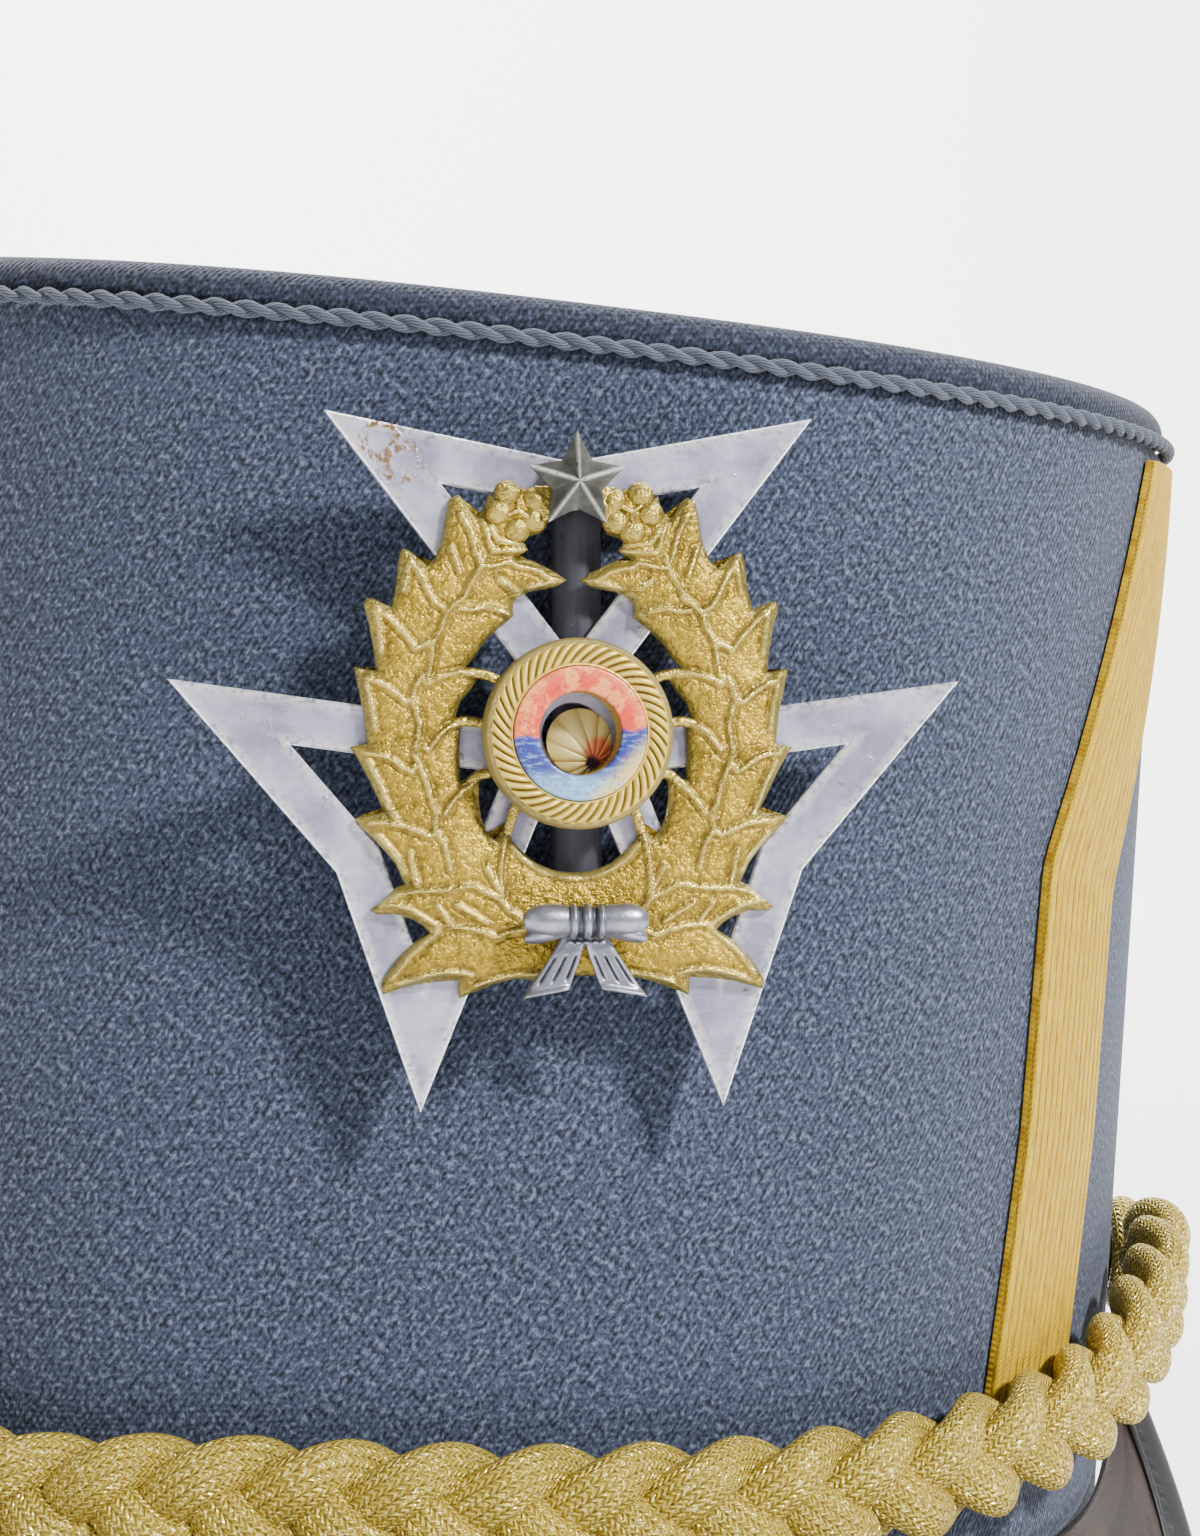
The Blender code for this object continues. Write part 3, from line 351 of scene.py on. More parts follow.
def make_piece(name: str, patches: list[Patch], finishes: list["Finish"],
               stands_for: tuple[str, ...], sharp: float = 180.0) -> bpy.types.Object:
    """Mesh object from patches, welded where they meet, that rides on the cap.

    Args:
        name: Name of the piece.
        patches: Its surfaces.
        finishes: Its finishes, in the order of the coats' numbers.
        stands_for: Solids that it replaces.
        sharp: Angle in degrees above which an edge is sharp.

    Returns:
        The object.
    """
    start = 0
    faces, flats, coats = [], [], []
    for patch in patches:
        rows, columns = patch.points.shape[:2]
        index = np.arange(rows * columns).reshape(rows, columns) + start
        start += rows * columns
        faces.append(np.stack(corners(index), axis=-1).reshape(-1, 4))
        flats.append(np.stack(corners(patch.flat), axis=2).reshape(-1, 2))
        chosen = np.zeros(rows - 1, int) if patch.coats is None else patch.coats
        coats.append(np.repeat(chosen, columns - 1))
    mesh = bpy.data.meshes.new(name)
    mesh.from_pydata(np.concatenate([patch.points.reshape(-1, 3) for patch in patches]), [],
                     np.concatenate(faces).tolist())
    mesh.polygons.foreach_set("material_index", np.concatenate(coats).astype(np.int32))
    layer = mesh.uv_layers.new(name="flat")
    layer.data.foreach_set("uv", np.concatenate(flats).astype(np.float32).ravel())
    for key in sorted({key for patch in patches for key in patch.values}):
        carried = mesh.attributes.new(key, "FLOAT", "POINT")
        numbers = [patch.values.get(key, np.zeros(patch.points.shape[:2])).ravel()
                   for patch in patches]
        carried.data.foreach_set("value", np.concatenate(numbers).astype(np.float32))
    work = bmesh.new()
    work.from_mesh(mesh)
    bmesh.ops.remove_doubles(work, verts=work.verts, dist=WELD)
    work.to_mesh(mesh)
    work.free()
    mesh.shade_smooth()
    if sharp < 180.0:
        mesh.set_sharp_from_angle(angle=math.radians(sharp))
    piece = add_object(name, mesh)
    for finish in finishes:
        mesh.materials.append(finish.material())
    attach(piece, "root")
    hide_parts(*stands_for)
    LOG.info("%s: %d faces", piece.name, len(mesh.polygons))
    return piece


def add_object(name: str, data: bpy.types.ID) -> bpy.types.Object:
    """Object of a mesh, a light or a camera, in the scene.

    Args:
        name: Name of the object.
        data: What it shows.

    Returns:
        The object.
    """
    made = bpy.data.objects.new(name, data)
    bpy.context.scene.collection.objects.link(made)
    return made


def unit(vectors: Array) -> Array:
    """Vectors at length 1."""
    return vectors / np.maximum(np.linalg.norm(vectors, axis=-1, keepdims=True), 1e-12)


def spread(*parts: Array) -> Array:
    """Arrays spread to one shape and stacked along a new last axis."""
    return np.stack(np.broadcast_arrays(*parts), -1)


def lengths_along(path: Array) -> Array:
    """Distance from a path's first point to each of its points."""
    steps = np.linalg.norm(np.diff(path, axis=0), axis=-1)
    return np.concatenate([[0.0], np.cumsum(steps)])


def path_axes(path: Array, toward: Array, closed: bool = False) -> tuple[Array, Array]:
    """Directions across a path and out of it.

    Args:
        path: Points in order; a closed path repeats its first point at its end.
        toward: Rough outward direction at each point.
        closed: Whether the path is a loop.

    Returns:
        The unit directions across, which is toward x along, and out, which is along x across.
    """
    if closed:
        open_path = path[:-1]
        along = np.roll(open_path, -1, axis=0) - np.roll(open_path, 1, axis=0)
        along = np.concatenate([along, along[:1]])
    else:
        along = np.gradient(path, axis=0)
    along = unit(along)
    across = unit(np.cross(toward, along))
    return across, np.cross(along, across)


def carry(path: Array, across: Array, out: Array, section: Array) -> Array:
    """Profile carried along a path: each point plus across times x plus out times y.

    Args:
        path: Rows of points.
        across: Rows of unit directions.
        out: Rows of unit directions.
        section: Columns of x and y, or rows and columns of them.

    Returns:
        Rows and columns of points.
    """
    if section.ndim == 2:
        section = np.broadcast_to(section, (len(path), *section.shape))
    return (path[:, None] + across[:, None] * section[..., :1] + out[:, None] * section[..., 1:2])


def close_ends(grid: Array) -> Array:
    """Tube whose first and last rings are drawn to their middles."""
    ends = np.broadcast_to(grid[[0, -1]].mean(axis=1, keepdims=True), (2, *grid.shape[1:]))
    return np.concatenate([ends[:1], grid, ends[1:]])


def tube_flat(grid: Array) -> Array:
    """Flat places of a tube: distance round its section, and distance along it."""
    around = lengths_along(grid[len(grid) // 2])
    return spread(around[None, :], lengths_along(grid.mean(axis=1))[:, None])


def ring(sides: int) -> Array:
    """Angles in radians round a circle, with the first repeated at the end."""
    return np.linspace(0.0, 2 * math.pi, sides + 1)


@dataclass(frozen=True)
class Finish:
    """Finish of a piece: a name, and the nodes that paint adds."""

    name: str

    def material(self) -> bpy.types.Material:
        """Node material of this finish.

        Returns:
            The material.
        """
        shader = Shader(self.name)
        self.paint(shader)
        return shader.material

    def paint(self, shader: Shader) -> None:
        """Add the finish's nodes.

        Args:
            shader: Material that they go into.
        """
        raise NotImplementedError


@dataclass(frozen=True)
class Whipcord(Finish):
    """Fine steep twill of wool, whose short yarns are flecked dark and light."""

    dark: tuple = tone(16, 19, 28)
    middle: tuple = tone(47, 56, 76)
    light: tuple = tone(104, 112, 132)
    rib_spacing: float = 0.56 * MM
    rib_slope: float = 60.0

    def paint(self, shader: Shader) -> None:
        """Ribs follow the flat place square to them, and flecks are noise stretched along them. The
        colour also carries painted shade in the ribs' valleys and a painted highlight on their crests.

        Args:
            shader: Material to paint.
        """
        u, v = shader.flat()
        slope = math.radians(self.rib_slope)
        drift = (shader.noise(420.0, 2.0, 0.5) - 0.5) * 1.6
        across = (u * math.sin(slope) - v * math.cos(slope)) / self.rib_spacing + drift
        along = (u * math.cos(slope) + v * math.sin(slope)) / self.rib_spacing
        rib = across.wave()
        yarn = (along * 0.8 + across.math("FLOOR") * 0.37).wave()
        fleck = shader.noise(1.0, 2.0, 0.6, shader.vector(across * 1.1, along * 0.8, 5.0))
        fuzz = shader.noise(3600.0, 2.0)
        cloud = shader.noise(38.0, 3.0, 0.5)
        height = rib * 0.45 + yarn * 0.25 + fleck * 0.6
        # deep: dark flecks, plus painted shade in the valleys between the ribs
        deep = fleck.ramp(0.50, 0.36) * 0.85 + (1.0 - rib) * 0.30
        # bright: light flecks and fuzz, plus a painted highlight on the rib crests
        bright = fleck.ramp(0.52, 0.68) * 0.6 + fuzz.ramp(0.58, 0.74) * 0.3 + rib * yarn * 0.18
        base = shader.blend(deep + (0.5 - cloud) * 0.4, self.middle, self.dark)
        shader.set(Base_Color=shader.blend(bright, base, self.light),
                   Roughness=0.92 - fleck * 0.1, Normal=shader.bump(height, 0.16 * MM),
                   Sheen_Weight=0.12, Sheen_Roughness=0.5, Specular_IOR_Level=0.2)


@dataclass(frozen=True)
class Lining(Finish):
    """Plain dark lining cloth in a fine even weave."""

    dark: tuple = tone(22, 23, 27)
    light: tuple = tone(52, 54, 60)

    def paint(self, shader: Shader) -> None:
        """Weave is the product of two waves, square to each other.

        Args:
            shader: Material to paint.
        """
        u, v = shader.flat()
        weave = (u / (0.5 * MM)).wave() * (v / (0.5 * MM)).wave()
        cloud = shader.noise(60.0, 3.0, 0.5)
        # The colour is lighter where the weave is raised: a painted highlight following the weave,
        # over a random cloud.
        shader.set(Base_Color=shader.blend(weave * 0.5 + cloud * 0.5, self.dark, self.light),
                   Roughness=0.75 - weave * 0.15, Normal=shader.bump(weave, 0.08 * MM))


@dataclass(frozen=True)
class Sweatband(Finish):
    """Worn brown leather with pores and creases."""

    dark: tuple = tone(52, 33, 22)
    light: tuple = tone(120, 84, 56)

    def paint(self, shader: Shader) -> None:
        """Pores come from scattered points, and wear from a slow noise.

        Args:
            shader: Material to paint.
        """
        pores = shader.spots(1400.0)
        worn = shader.noise(45.0, 4.0)
        shader.set(Base_Color=shader.blend(worn, self.dark, self.light),
                   Roughness=0.42 + worn * 0.25,
                   Normal=shader.bump(pores * 0.6 + worn, 0.12 * MM))


@dataclass(frozen=True)
class TwistedCord(Finish):
    """Dull twisted yarn of the seam's cord."""

    dark: tuple = tone(34, 40, 54)
    light: tuple = tone(86, 95, 112)

    def paint(self, shader: Shader) -> None:
        """Fine yarns run round the ply on a slant.

        Args:
            shader: Material to paint.
        """
        u, v = shader.flat()
        yarn = ((u + v * 0.7) / (0.28 * MM)).wave()
        fuzz = shader.noise(3000.0, 2.0, 0.5)
        # The colour is lighter on each yarn's crest: a painted highlight following the yarns' relief,
        # with fuzz as noise.
        shader.set(Base_Color=shader.blend(yarn * 0.55 + fuzz * 0.4, self.dark, self.light),
                   Roughness=0.9 - fuzz * 0.1, Normal=shader.bump(yarn + fuzz * 0.6, 0.1 * MM),
                   Sheen_Weight=0.15)


@dataclass(frozen=True)
class FlatBraid(Finish):
    """Gold silk braid: lengthwise ribs with slanted stitches, and ochre painted shade in the grooves
    between them.
    """

    gold: tuple = tone(200, 166, 30)
    yellow: tuple = tone(180, 144, 0)
    ochre: tuple = tone(132, 92, 4)
    ribs: int = 13

    def paint(self, shader: Shader) -> None:
        """Ribs follow the share across the braid, and stitches a slant along it.

        Args:
            shader: Material to paint.
        """
        u, v = shader.flat()
        share = shader.attribute("across")
        lane = share * self.ribs
        groove = ((lane.fraction() - 0.5).math("ABSOLUTE")).ramp(0.34, 0.5)
        stitch = ((v + u * 0.9) / (0.62 * MM)).wave()
        thread = shader.noise(1.0, 3.0, 0.6, shader.vector(u * 5200.0, v * 380.0))
        tint = shader.noise(1.0, 3.0, 0.6, shader.vector(lane * 2.3, v * 130.0))
        body = shader.blend(tint.ramp(0.35, 0.65), self.gold, self.yellow)
        # shade: painted ochre shade in the grooves between the ribs, plus darker threads from noise
        shade = groove * 0.3 + thread.ramp(0.56, 0.36) * 0.55
        shader.set(Base_Color=shader.blend(shade, body, self.ochre),
                   Roughness=0.62 - thread * 0.25,
                   Normal=shader.bump(stitch * 0.35 + thread * 0.9 - groove, 0.2 * MM),
                   Specular_IOR_Level=0.3)


@dataclass(frozen=True)
class Lame(Finish):
    """Knitted cord of gold metal thread: V stitches with painted shading and single painted glints."""

    dark: tuple = tone(84, 64, 8)
    gold: tuple = tone(208, 180, 58)
    painted_glint_tone: tuple = tone(255, 238, 150)
    stitch: float = 1.05 * MM

    def paint(self, shader: Shader) -> None:
        """Stitches are slants that turn over in each lane round the cord. Their crests are painted
        lighter and the lane edges darker, as painted shading, and bright spots are painted glints.

        Args:
            shader: Material to paint.
        """
        u, v = shader.flat()
        lane = u / self.stitch
        slant = (lane.fraction() - 0.5).math("ABSOLUTE")
        knit = (v / (self.stitch * 0.62) + slant * 1.6).wave()
        # edge: painted shade along the lane edges between the stitches
        edge = slant.ramp(0.38, 0.5)
        grain = shader.noise(2600.0, 2.0, 0.65)
        # Scattered spots painted in a near-white glint colour, which are also made shinier
        painted_sparkle = shader.noise(2600.0, 1.0, 0.5).ramp(0.57, 0.66)
        cloud = shader.noise(130.0, 2.0, 0.5)
        # Lighter on the stitch crests and darker at the lane edges: painted shading, with grain and
        # cloud as the thread's own tone
        share = knit * 0.45 + grain * 0.6 + cloud * 0.25 - edge * 0.25 - 0.1
        body = shader.blend(share, self.dark, self.gold)
        shader.set(Base_Color=shader.blend(painted_sparkle, body, self.painted_glint_tone),
                   Metallic=0.35 + painted_sparkle * 0.4, Roughness=0.62 - grain * 0.2 - painted_sparkle * 0.25,
                   Normal=shader.bump(knit * 0.7 + grain * 0.5 - edge * 0.5, 0.28 * MM))


@dataclass(frozen=True)
class PatentLeather(Finish):
    """Glossy brown-black leather with a fine grain and faint scuffs."""

    dark: tuple = tone(26, 18, 15)
    worn: tuple = tone(56, 36, 28)

    def paint(self, shader: Shader) -> None:
        """Grain is a fine cell pattern, and scuffs are stretched noise.

        Args:
            shader: Material to paint.
        """
        u, v = shader.flat()
        grain = shader.spots(1900.0)
        scuff = shader.noise(1.0, 4.0, 0.6, shader.vector(u * 40.0, v * 220.0))
        dust = shader.noise(500.0, 3.0, 0.7).ramp(0.58, 0.75)
        shader.set(Base_Color=shader.blend(scuff.ramp(0.35, 0.8) + dust * 0.2, self.dark, self.worn),
                   Roughness=0.20 + scuff * 0.16 + dust * 0.1, Coat_Roughness=0.08,
                   Coat_Weight=0.3 - dust * 0.2,
                   Normal=shader.bump(grain * 0.5 + scuff * 0.6, 0.03 * MM))


@dataclass(frozen=True)
class BindingLeather(Finish):
    """Black leather binding with a worn crest and a stitched groove."""

    dark: tuple = tone(12, 12, 14)
    worn: tuple = tone(48, 48, 54)

    def paint(self, shader: Shader) -> None:
        """Wear follows noise along the edge, and the stitches a wave along the groove.

        Args:
            shader: Material to paint.
        """
        _, v = shader.flat()
        worn = shader.noise(260.0, 4.0, 0.65)
        stitch = (v / (2.4 * MM)).wave().ramp(0.25, 0.5) * shader.attribute("groove")
        shader.set(Base_Color=shader.blend(worn.ramp(0.5, 0.8) * 0.5 + stitch * 0.4,
                                           self.dark, self.worn),
                   Roughness=0.3 + worn * 0.2,
                   Normal=shader.bump(worn * 0.4 + stitch, 0.08 * MM))


@dataclass(frozen=True)
class CastSilver(Finish):
    """Silvered plate: pale mottled metal, a brown ring of old glue, scratches, and a near-white
    painted highlight along its bevels.
    """

    pale: tuple = tone(196, 194, 214)
    dull: tuple = tone(146, 144, 168)
    brown: tuple = tone(104, 80, 50)
    stains: tuple = (
        # x, y, ring's radius in mm
        (-18.2, 27.3, 1.7),
        (-16.1, 25.3, 1.6),
        (29.5, -8.5, 0.9),
    )

    def paint(self, shader: Shader) -> None:
        """Stains are rings exp(-((distance - radius) / width) squared), broken up by noise.

        Args:
            shader: Material to paint.
        """
        u, v = shader.flat()
        cloud = shader.noise(120.0, 4.0)
        fine = shader.noise(1500.0)
        speck = shader.noise(820.0, 1.0, 0.5).ramp(0.73, 0.78)
        scratch = shader.noise(1.0, 2.0, 0.6, shader.vector(u * 190.0, v * 2400.0))
        edge = shader.attribute("edge")
        stain = speck * 0.55
        for x, y, radius in self.stains:
            away_x, away_y = u - x * MM, v - y * MM
            distance = (away_x * away_x + away_y * away_y).math("SQRT") + (cloud - 0.5) * 2.4 * MM
            ring_share = 1.0 - ((distance - radius * MM).math("ABSOLUTE") / (0.75 * MM)).ramp(0.3, 1.0)
            stain = stain + ring_share * fine.ramp(0.35, 0.6)
        body = shader.blend(cloud.ramp(0.35, 0.68) * 0.8 + (fine - 0.5) * 0.6, self.dull, self.pale)
        # Bevels are painted near white, broken up by noise: a painted highlight along the plate's
        # edges.
        worn = shader.blend(edge * fine.ramp(0.3, 0.55), body, tone(240, 238, 240))
        stained = shader.blend(stain.math("MINIMUM", 1.0), worn, self.brown)
        shader.set(Base_Color=stained, Metallic=0.65 - stain * 0.5,
                   Roughness=0.42 + (cloud - 0.5) * 0.3 - edge * 0.15 - scratch * 0.06,
                   Normal=shader.bump(fine * 0.5 + scratch * 0.4 + stain * 0.8, 0.06 * MM))


@dataclass(frozen=True)
class BluedSteel(Finish):
    """Dark satin tube with upright scratches and grey scuffs."""

    dark: tuple = tone(28, 27, 32)
    light: tuple = tone(78, 77, 88)

    def paint(self, shader: Shader) -> None:
        """Scratches are noise stretched along the tube.

        Args:
            shader: Material to paint.
        """
        u, v = shader.flat()
        brushed = shader.noise(1.0, 3.0, 0.6, shader.vector(u * 2600.0, v * 260.0))
        cloud = shader.noise(300.0)
        scuff = shader.noise(1300.0, 2.0).ramp(0.66, 0.74)
        shader.set(Base_Color=shader.blend(brushed * 0.5 + cloud * 0.4 + scuff * 0.6,
                                           self.dark, self.light),
                   Metallic=0.5, Roughness=0.40 + cloud * 0.25,
                   Normal=shader.bump(brushed * 0.6 + scuff, 0.05 * MM))


@dataclass(frozen=True)
class CastGold(Finish):
    """Matt gilt casting: hammered fields, raised lines with a painted highlight, creases with painted
    shade, and green-grey edges.
    """

    field: tuple = tone(196, 166, 58)
    deep: tuple = tone(92, 70, 18)
    # Colour of the painted highlight on the raised lines
    crest: tuple = tone(214, 194, 112)
    edge: tuple = tone(106, 106, 60)
    grain_depth: float = 0.28 * MM

    def paint(self, shader: Shader) -> None:
        """Fields follow noise, and the painted highlights on the lines, the painted shade in the
        creases and the edges follow what the mesh carries.

        Args:
            shader: Material to paint.
        """
        grain = shader.noise(1500.0)
        dents = shader.noise(3400.0, 2.0)
        cloud = shader.noise(190.0)
        crest = shader.attribute("crest")
        edge = shader.attribute("edge")
        crease = shader.attribute("crease")
        share = (cloud - 0.5) * 0.8 + grain.ramp(0.3, 0.68) * 0.45 + dents * 0.3 + 0.1
        body = shader.blend(share, self.deep, self.field)
        dulled = shader.blend(edge * (0.9 - dents * 0.5), body, self.edge)
        # Painted highlight: the raised lines are painted paler.
        painted_crest_lines = shader.blend(crest * grain.ramp(0.1, 0.5) * 0.75, dulled, self.crest)
        # Painted shade: the creases are painted dark brown.
        shaded = shader.blend(crease * 0.9, painted_crest_lines, tone(70, 50, 18))
        shader.set(Base_Color=shaded, Metallic=0.9 - crease * 0.3 - edge * 0.3,
                   Roughness=0.31 - crest * 0.1 + (cloud - 0.5) * 0.2,
                   Normal=shader.bump(grain * (1.0 - crest * 0.6) + dents * 0.45,
                                      self.grain_depth))


@dataclass(frozen=True)
class RopeBrass(Finish):
    """Medallion's brass: yellow flutes with painted shade in their grooves, and a grey-brown smooth
    side.
    """

    yellow: tuple = tone(216, 190, 92)
    # Colour of the painted shade in the grooves, also mottled by cloud
    deep: tuple = tone(92, 72, 24)
    side: tuple = tone(70, 62, 38)

    def paint(self, shader: Shader) -> None:
        """Painted shade darkens the grooves and the recess wall where the mesh carries it, and the
        side darkens where it carries edge.

        Args:
            shader: Material to paint.
        """
        grain = shader.noise(1900.0)
        cloud = shader.noise(260.0)
        groove = shader.attribute("crease")
        edge = shader.attribute("edge")
        # Painted shade: the grooves and the recess wall are painted toward the deep colour.
        body = shader.blend(groove * 0.75 + (0.5 - cloud) * 0.5, self.yellow, self.deep)
        # The side wall is painted grey-brown.
        aged = shader.blend(edge * (0.95 - cloud * 0.4), body, self.side)
        shader.set(Base_Color=shader.blend(grain.ramp(0.55, 0.8) * 0.25, aged, tone(236, 218, 170)),
                   Metallic=0.6 - edge * 0.25, Roughness=0.42 + cloud * 0.15 + edge * 0.1,
                   Normal=shader.bump(grain, 0.035 * MM))


@dataclass(frozen=True)
class TwoColourEnamel(Finish):
    """Worn enamel, coral above and blue below, rubbed through to pale ground and brass."""

    coral: tuple = tone(206, 54, 24)
    pink: tuple = tone(232, 156, 88)
    blue: tuple = tone(22, 38, 128)
    ice: tuple = tone(126, 172, 206)
    ground: tuple = tone(206, 184, 108)
    crack: tuple = tone(104, 30, 26)
    turn: float = 0.06

    def paint(self, shader: Shader) -> None:
        """The colours part at y = turn x, on a wavering line, and wear is cloud above a limit.

        Args:
            shader: Material to paint.
        """
        u, v = shader.flat()
        waver = (shader.noise(700.0, 2.0, 0.5) - 0.5) * 1.3 * MM
        low = (u * self.turn - v + waver) / (0.5 * MM)
        below = low.ramp(-0.5, 0.5)
        cloud = shader.noise(640.0, 4.0, 0.7)
        fine = shader.noise(3000.0, 3.0, 0.7)
        streak = shader.noise(1.0, 2.0, 0.6, shader.vector(u * 700.0, v * 2600.0))
        distance = (u * u + v * v).math("SQRT")
        outer = (distance / MM).ramp(4.7, 6.0)
        foot = (v / MM).ramp(-3.0, -4.8)
        red = shader.blend(cloud.ramp(0.46, 0.62) * 0.7 + outer * 0.25, self.coral, self.pink)
        cool = shader.blend(streak.ramp(0.5, 0.66) * 0.5 + foot * 0.75, self.blue, self.ice)
        paint = shader.blend(below, red, cool)
        corner = ((u - v) / MM).ramp(5.6, 8.4) * below
        rubbed = (fine.ramp(0.60, 0.70) * outer * 0.7 + corner * cloud.ramp(0.34, 0.5))
        worn = shader.blend(rubbed.math("MINIMUM", 1.0), paint, self.ground)
        cracked = shader.blend(fine.ramp(0.41, 0.34) * 0.8, worn, self.crack)
        shader.set(Base_Color=cracked, Roughness=0.45 + cloud * 0.2, Coat_Weight=0.25,
                   Coat_Roughness=0.25, Normal=shader.bump(cloud * 0.6 + fine * 0.5, 0.07 * MM))


@dataclass(frozen=True)
class ShellGilt(Finish):
    """Green-gold fluted shell with a red wash towards its lower right and one purple spot."""

    gold: tuple = tone(170, 150, 88)
    pale: tuple = tone(206, 190, 130)
    red: tuple = tone(206, 92, 60)
    purple: tuple = tone(70, 42, 66)
    red_place: tuple = (2.4 * MM, -1.7 * MM)
    spot_place: tuple = (1.7 * MM, -2.7 * MM)

    def near(self, shader: Shader, place: tuple, reach: float) -> Wire:
        """Share that falls from 1 at a flat place to 0 at a reach.

        Args:
            shader: Material that its nodes go into.
            place: Flat X and Y.
            reach: Distance in metres.

        Returns:
            The share.
        """
        u, v = shader.flat()
        away_x, away_y = u - place[0], v - place[1]
        waver = (shader.noise(1500.0, 2.0, 0.5) - 0.5) * 1.1 * MM
        return (((away_x * away_x + away_y * away_y).math("SQRT") + waver) / reach).ramp(1.0, 0.45)

    def paint(self, shader: Shader) -> None:
        """Ribs are painted paler as a painted highlight, and the two washes lie over them.

        Args:
            shader: Material to paint.
        """
        crest = shader.attribute("crest")
        grain = shader.noise(2200.0)
        # Painted highlight: the ribs are painted paler.
        body = shader.blend(crest * 0.7 + grain * 0.4, self.gold, self.pale)
        red = shader.blend(self.near(shader, self.red_place, 2.0 * MM) * 0.85, body, self.red)
        spot = shader.blend(self.near(shader, self.spot_place, 0.9 * MM), red, self.purple)
        shader.set(Base_Color=spot, Metallic=0.45, Roughness=0.45 + grain * 0.15,
                   Normal=shader.bump(grain, 0.03 * MM))


@dataclass(frozen=True)
class Pewter(Finish):
    """Dark dull star with a pale painted highlight along its ridges and a little verdigris at its tip.
    """

    dark: tuple = tone(46, 46, 42)
    light: tuple = tone(80, 80, 74)
    painted_ridge_highlight: tuple = tone(180, 180, 172)
    green: tuple = tone(62, 78, 58)

    def paint(self, shader: Shader) -> None:
        """Painted ridge highlights follow what the mesh carries, and verdigris the height.

        Args:
            shader: Material to paint.
        """
        u, v = shader.flat()
        cloud = shader.noise(420.0, 4.0)
        fine = shader.noise(2600.0, 2.0)
        crest = shader.attribute("crest")
        body = shader.blend(cloud.ramp(0.3, 0.7) + (fine - 0.5) * 0.3, self.dark, self.light)
        tip = (v / MM).ramp(26.0, 28.2) * cloud.ramp(0.35, 0.55) * 0.6
        aged = shader.blend(tip, body, self.green)
        shader.set(Base_Color=shader.blend(crest * fine.ramp(0.2, 0.5), aged, self.painted_ridge_highlight),
                   Metallic=0.6, Roughness=0.46 + (u / MM).wave() * 0.03 - crest * 0.12,
                   Normal=shader.bump(fine * 0.6 + cloud * 0.4, 0.03 * MM))


@dataclass(frozen=True)
class BowSilver(Finish):
    """Shiny grey silver with painted shade in its folds and patchy tarnish."""

    light: tuple = tone(156, 158, 170)
    dark: tuple = tone(66, 66, 74)

    def paint(self, shader: Shader) -> None:
        """Painted shade follows the creases that the mesh carries, and tarnish a slow noise.

        Args:
            shader: Material to paint.
        """
        cloud = shader.noise(520.0, 4.0)
        fine = shader.noise(3000.0, 2.0)
        crease = shader.attribute("crease")
        shade = (crease * 0.8 + cloud.ramp(0.35, 0.75) * 0.5).math("MINIMUM", 1.0)
        shader.set(Base_Color=shader.blend(shade, self.light, self.dark), Metallic=0.85,
                   Roughness=0.27 + cloud * 0.16 + crease * 0.2,
                   Normal=shader.bump(fine * 0.5 + cloud, 0.04 * MM))


@dataclass(frozen=True)
class ButtonBrass(Finish):
    """Gilt button, rubbed bright on its dome and dull at its rim."""

    bright: tuple = tone(214, 180, 108)
    dull: tuple = tone(128, 98, 54)

    def paint(self, shader: Shader) -> None:
        """Dullness follows the edge that the mesh carries and noise.

        Args:
            shader: Material to paint.
        """
        cloud = shader.noise(400.0, 4.0)
        fine = shader.noise(2400.0, 2.0, 0.5)
        edge = shader.attribute("edge")
        shader.set(Base_Color=shader.blend(edge * 0.7 + cloud.ramp(0.4, 0.7) * 0.4,
                                           self.bright, self.dull),
                   Metallic=0.8, Roughness=0.28 + cloud * 0.2 + edge * 0.1,
                   Normal=shader.bump(fine * 0.5 + cloud, 0.03 * MM))


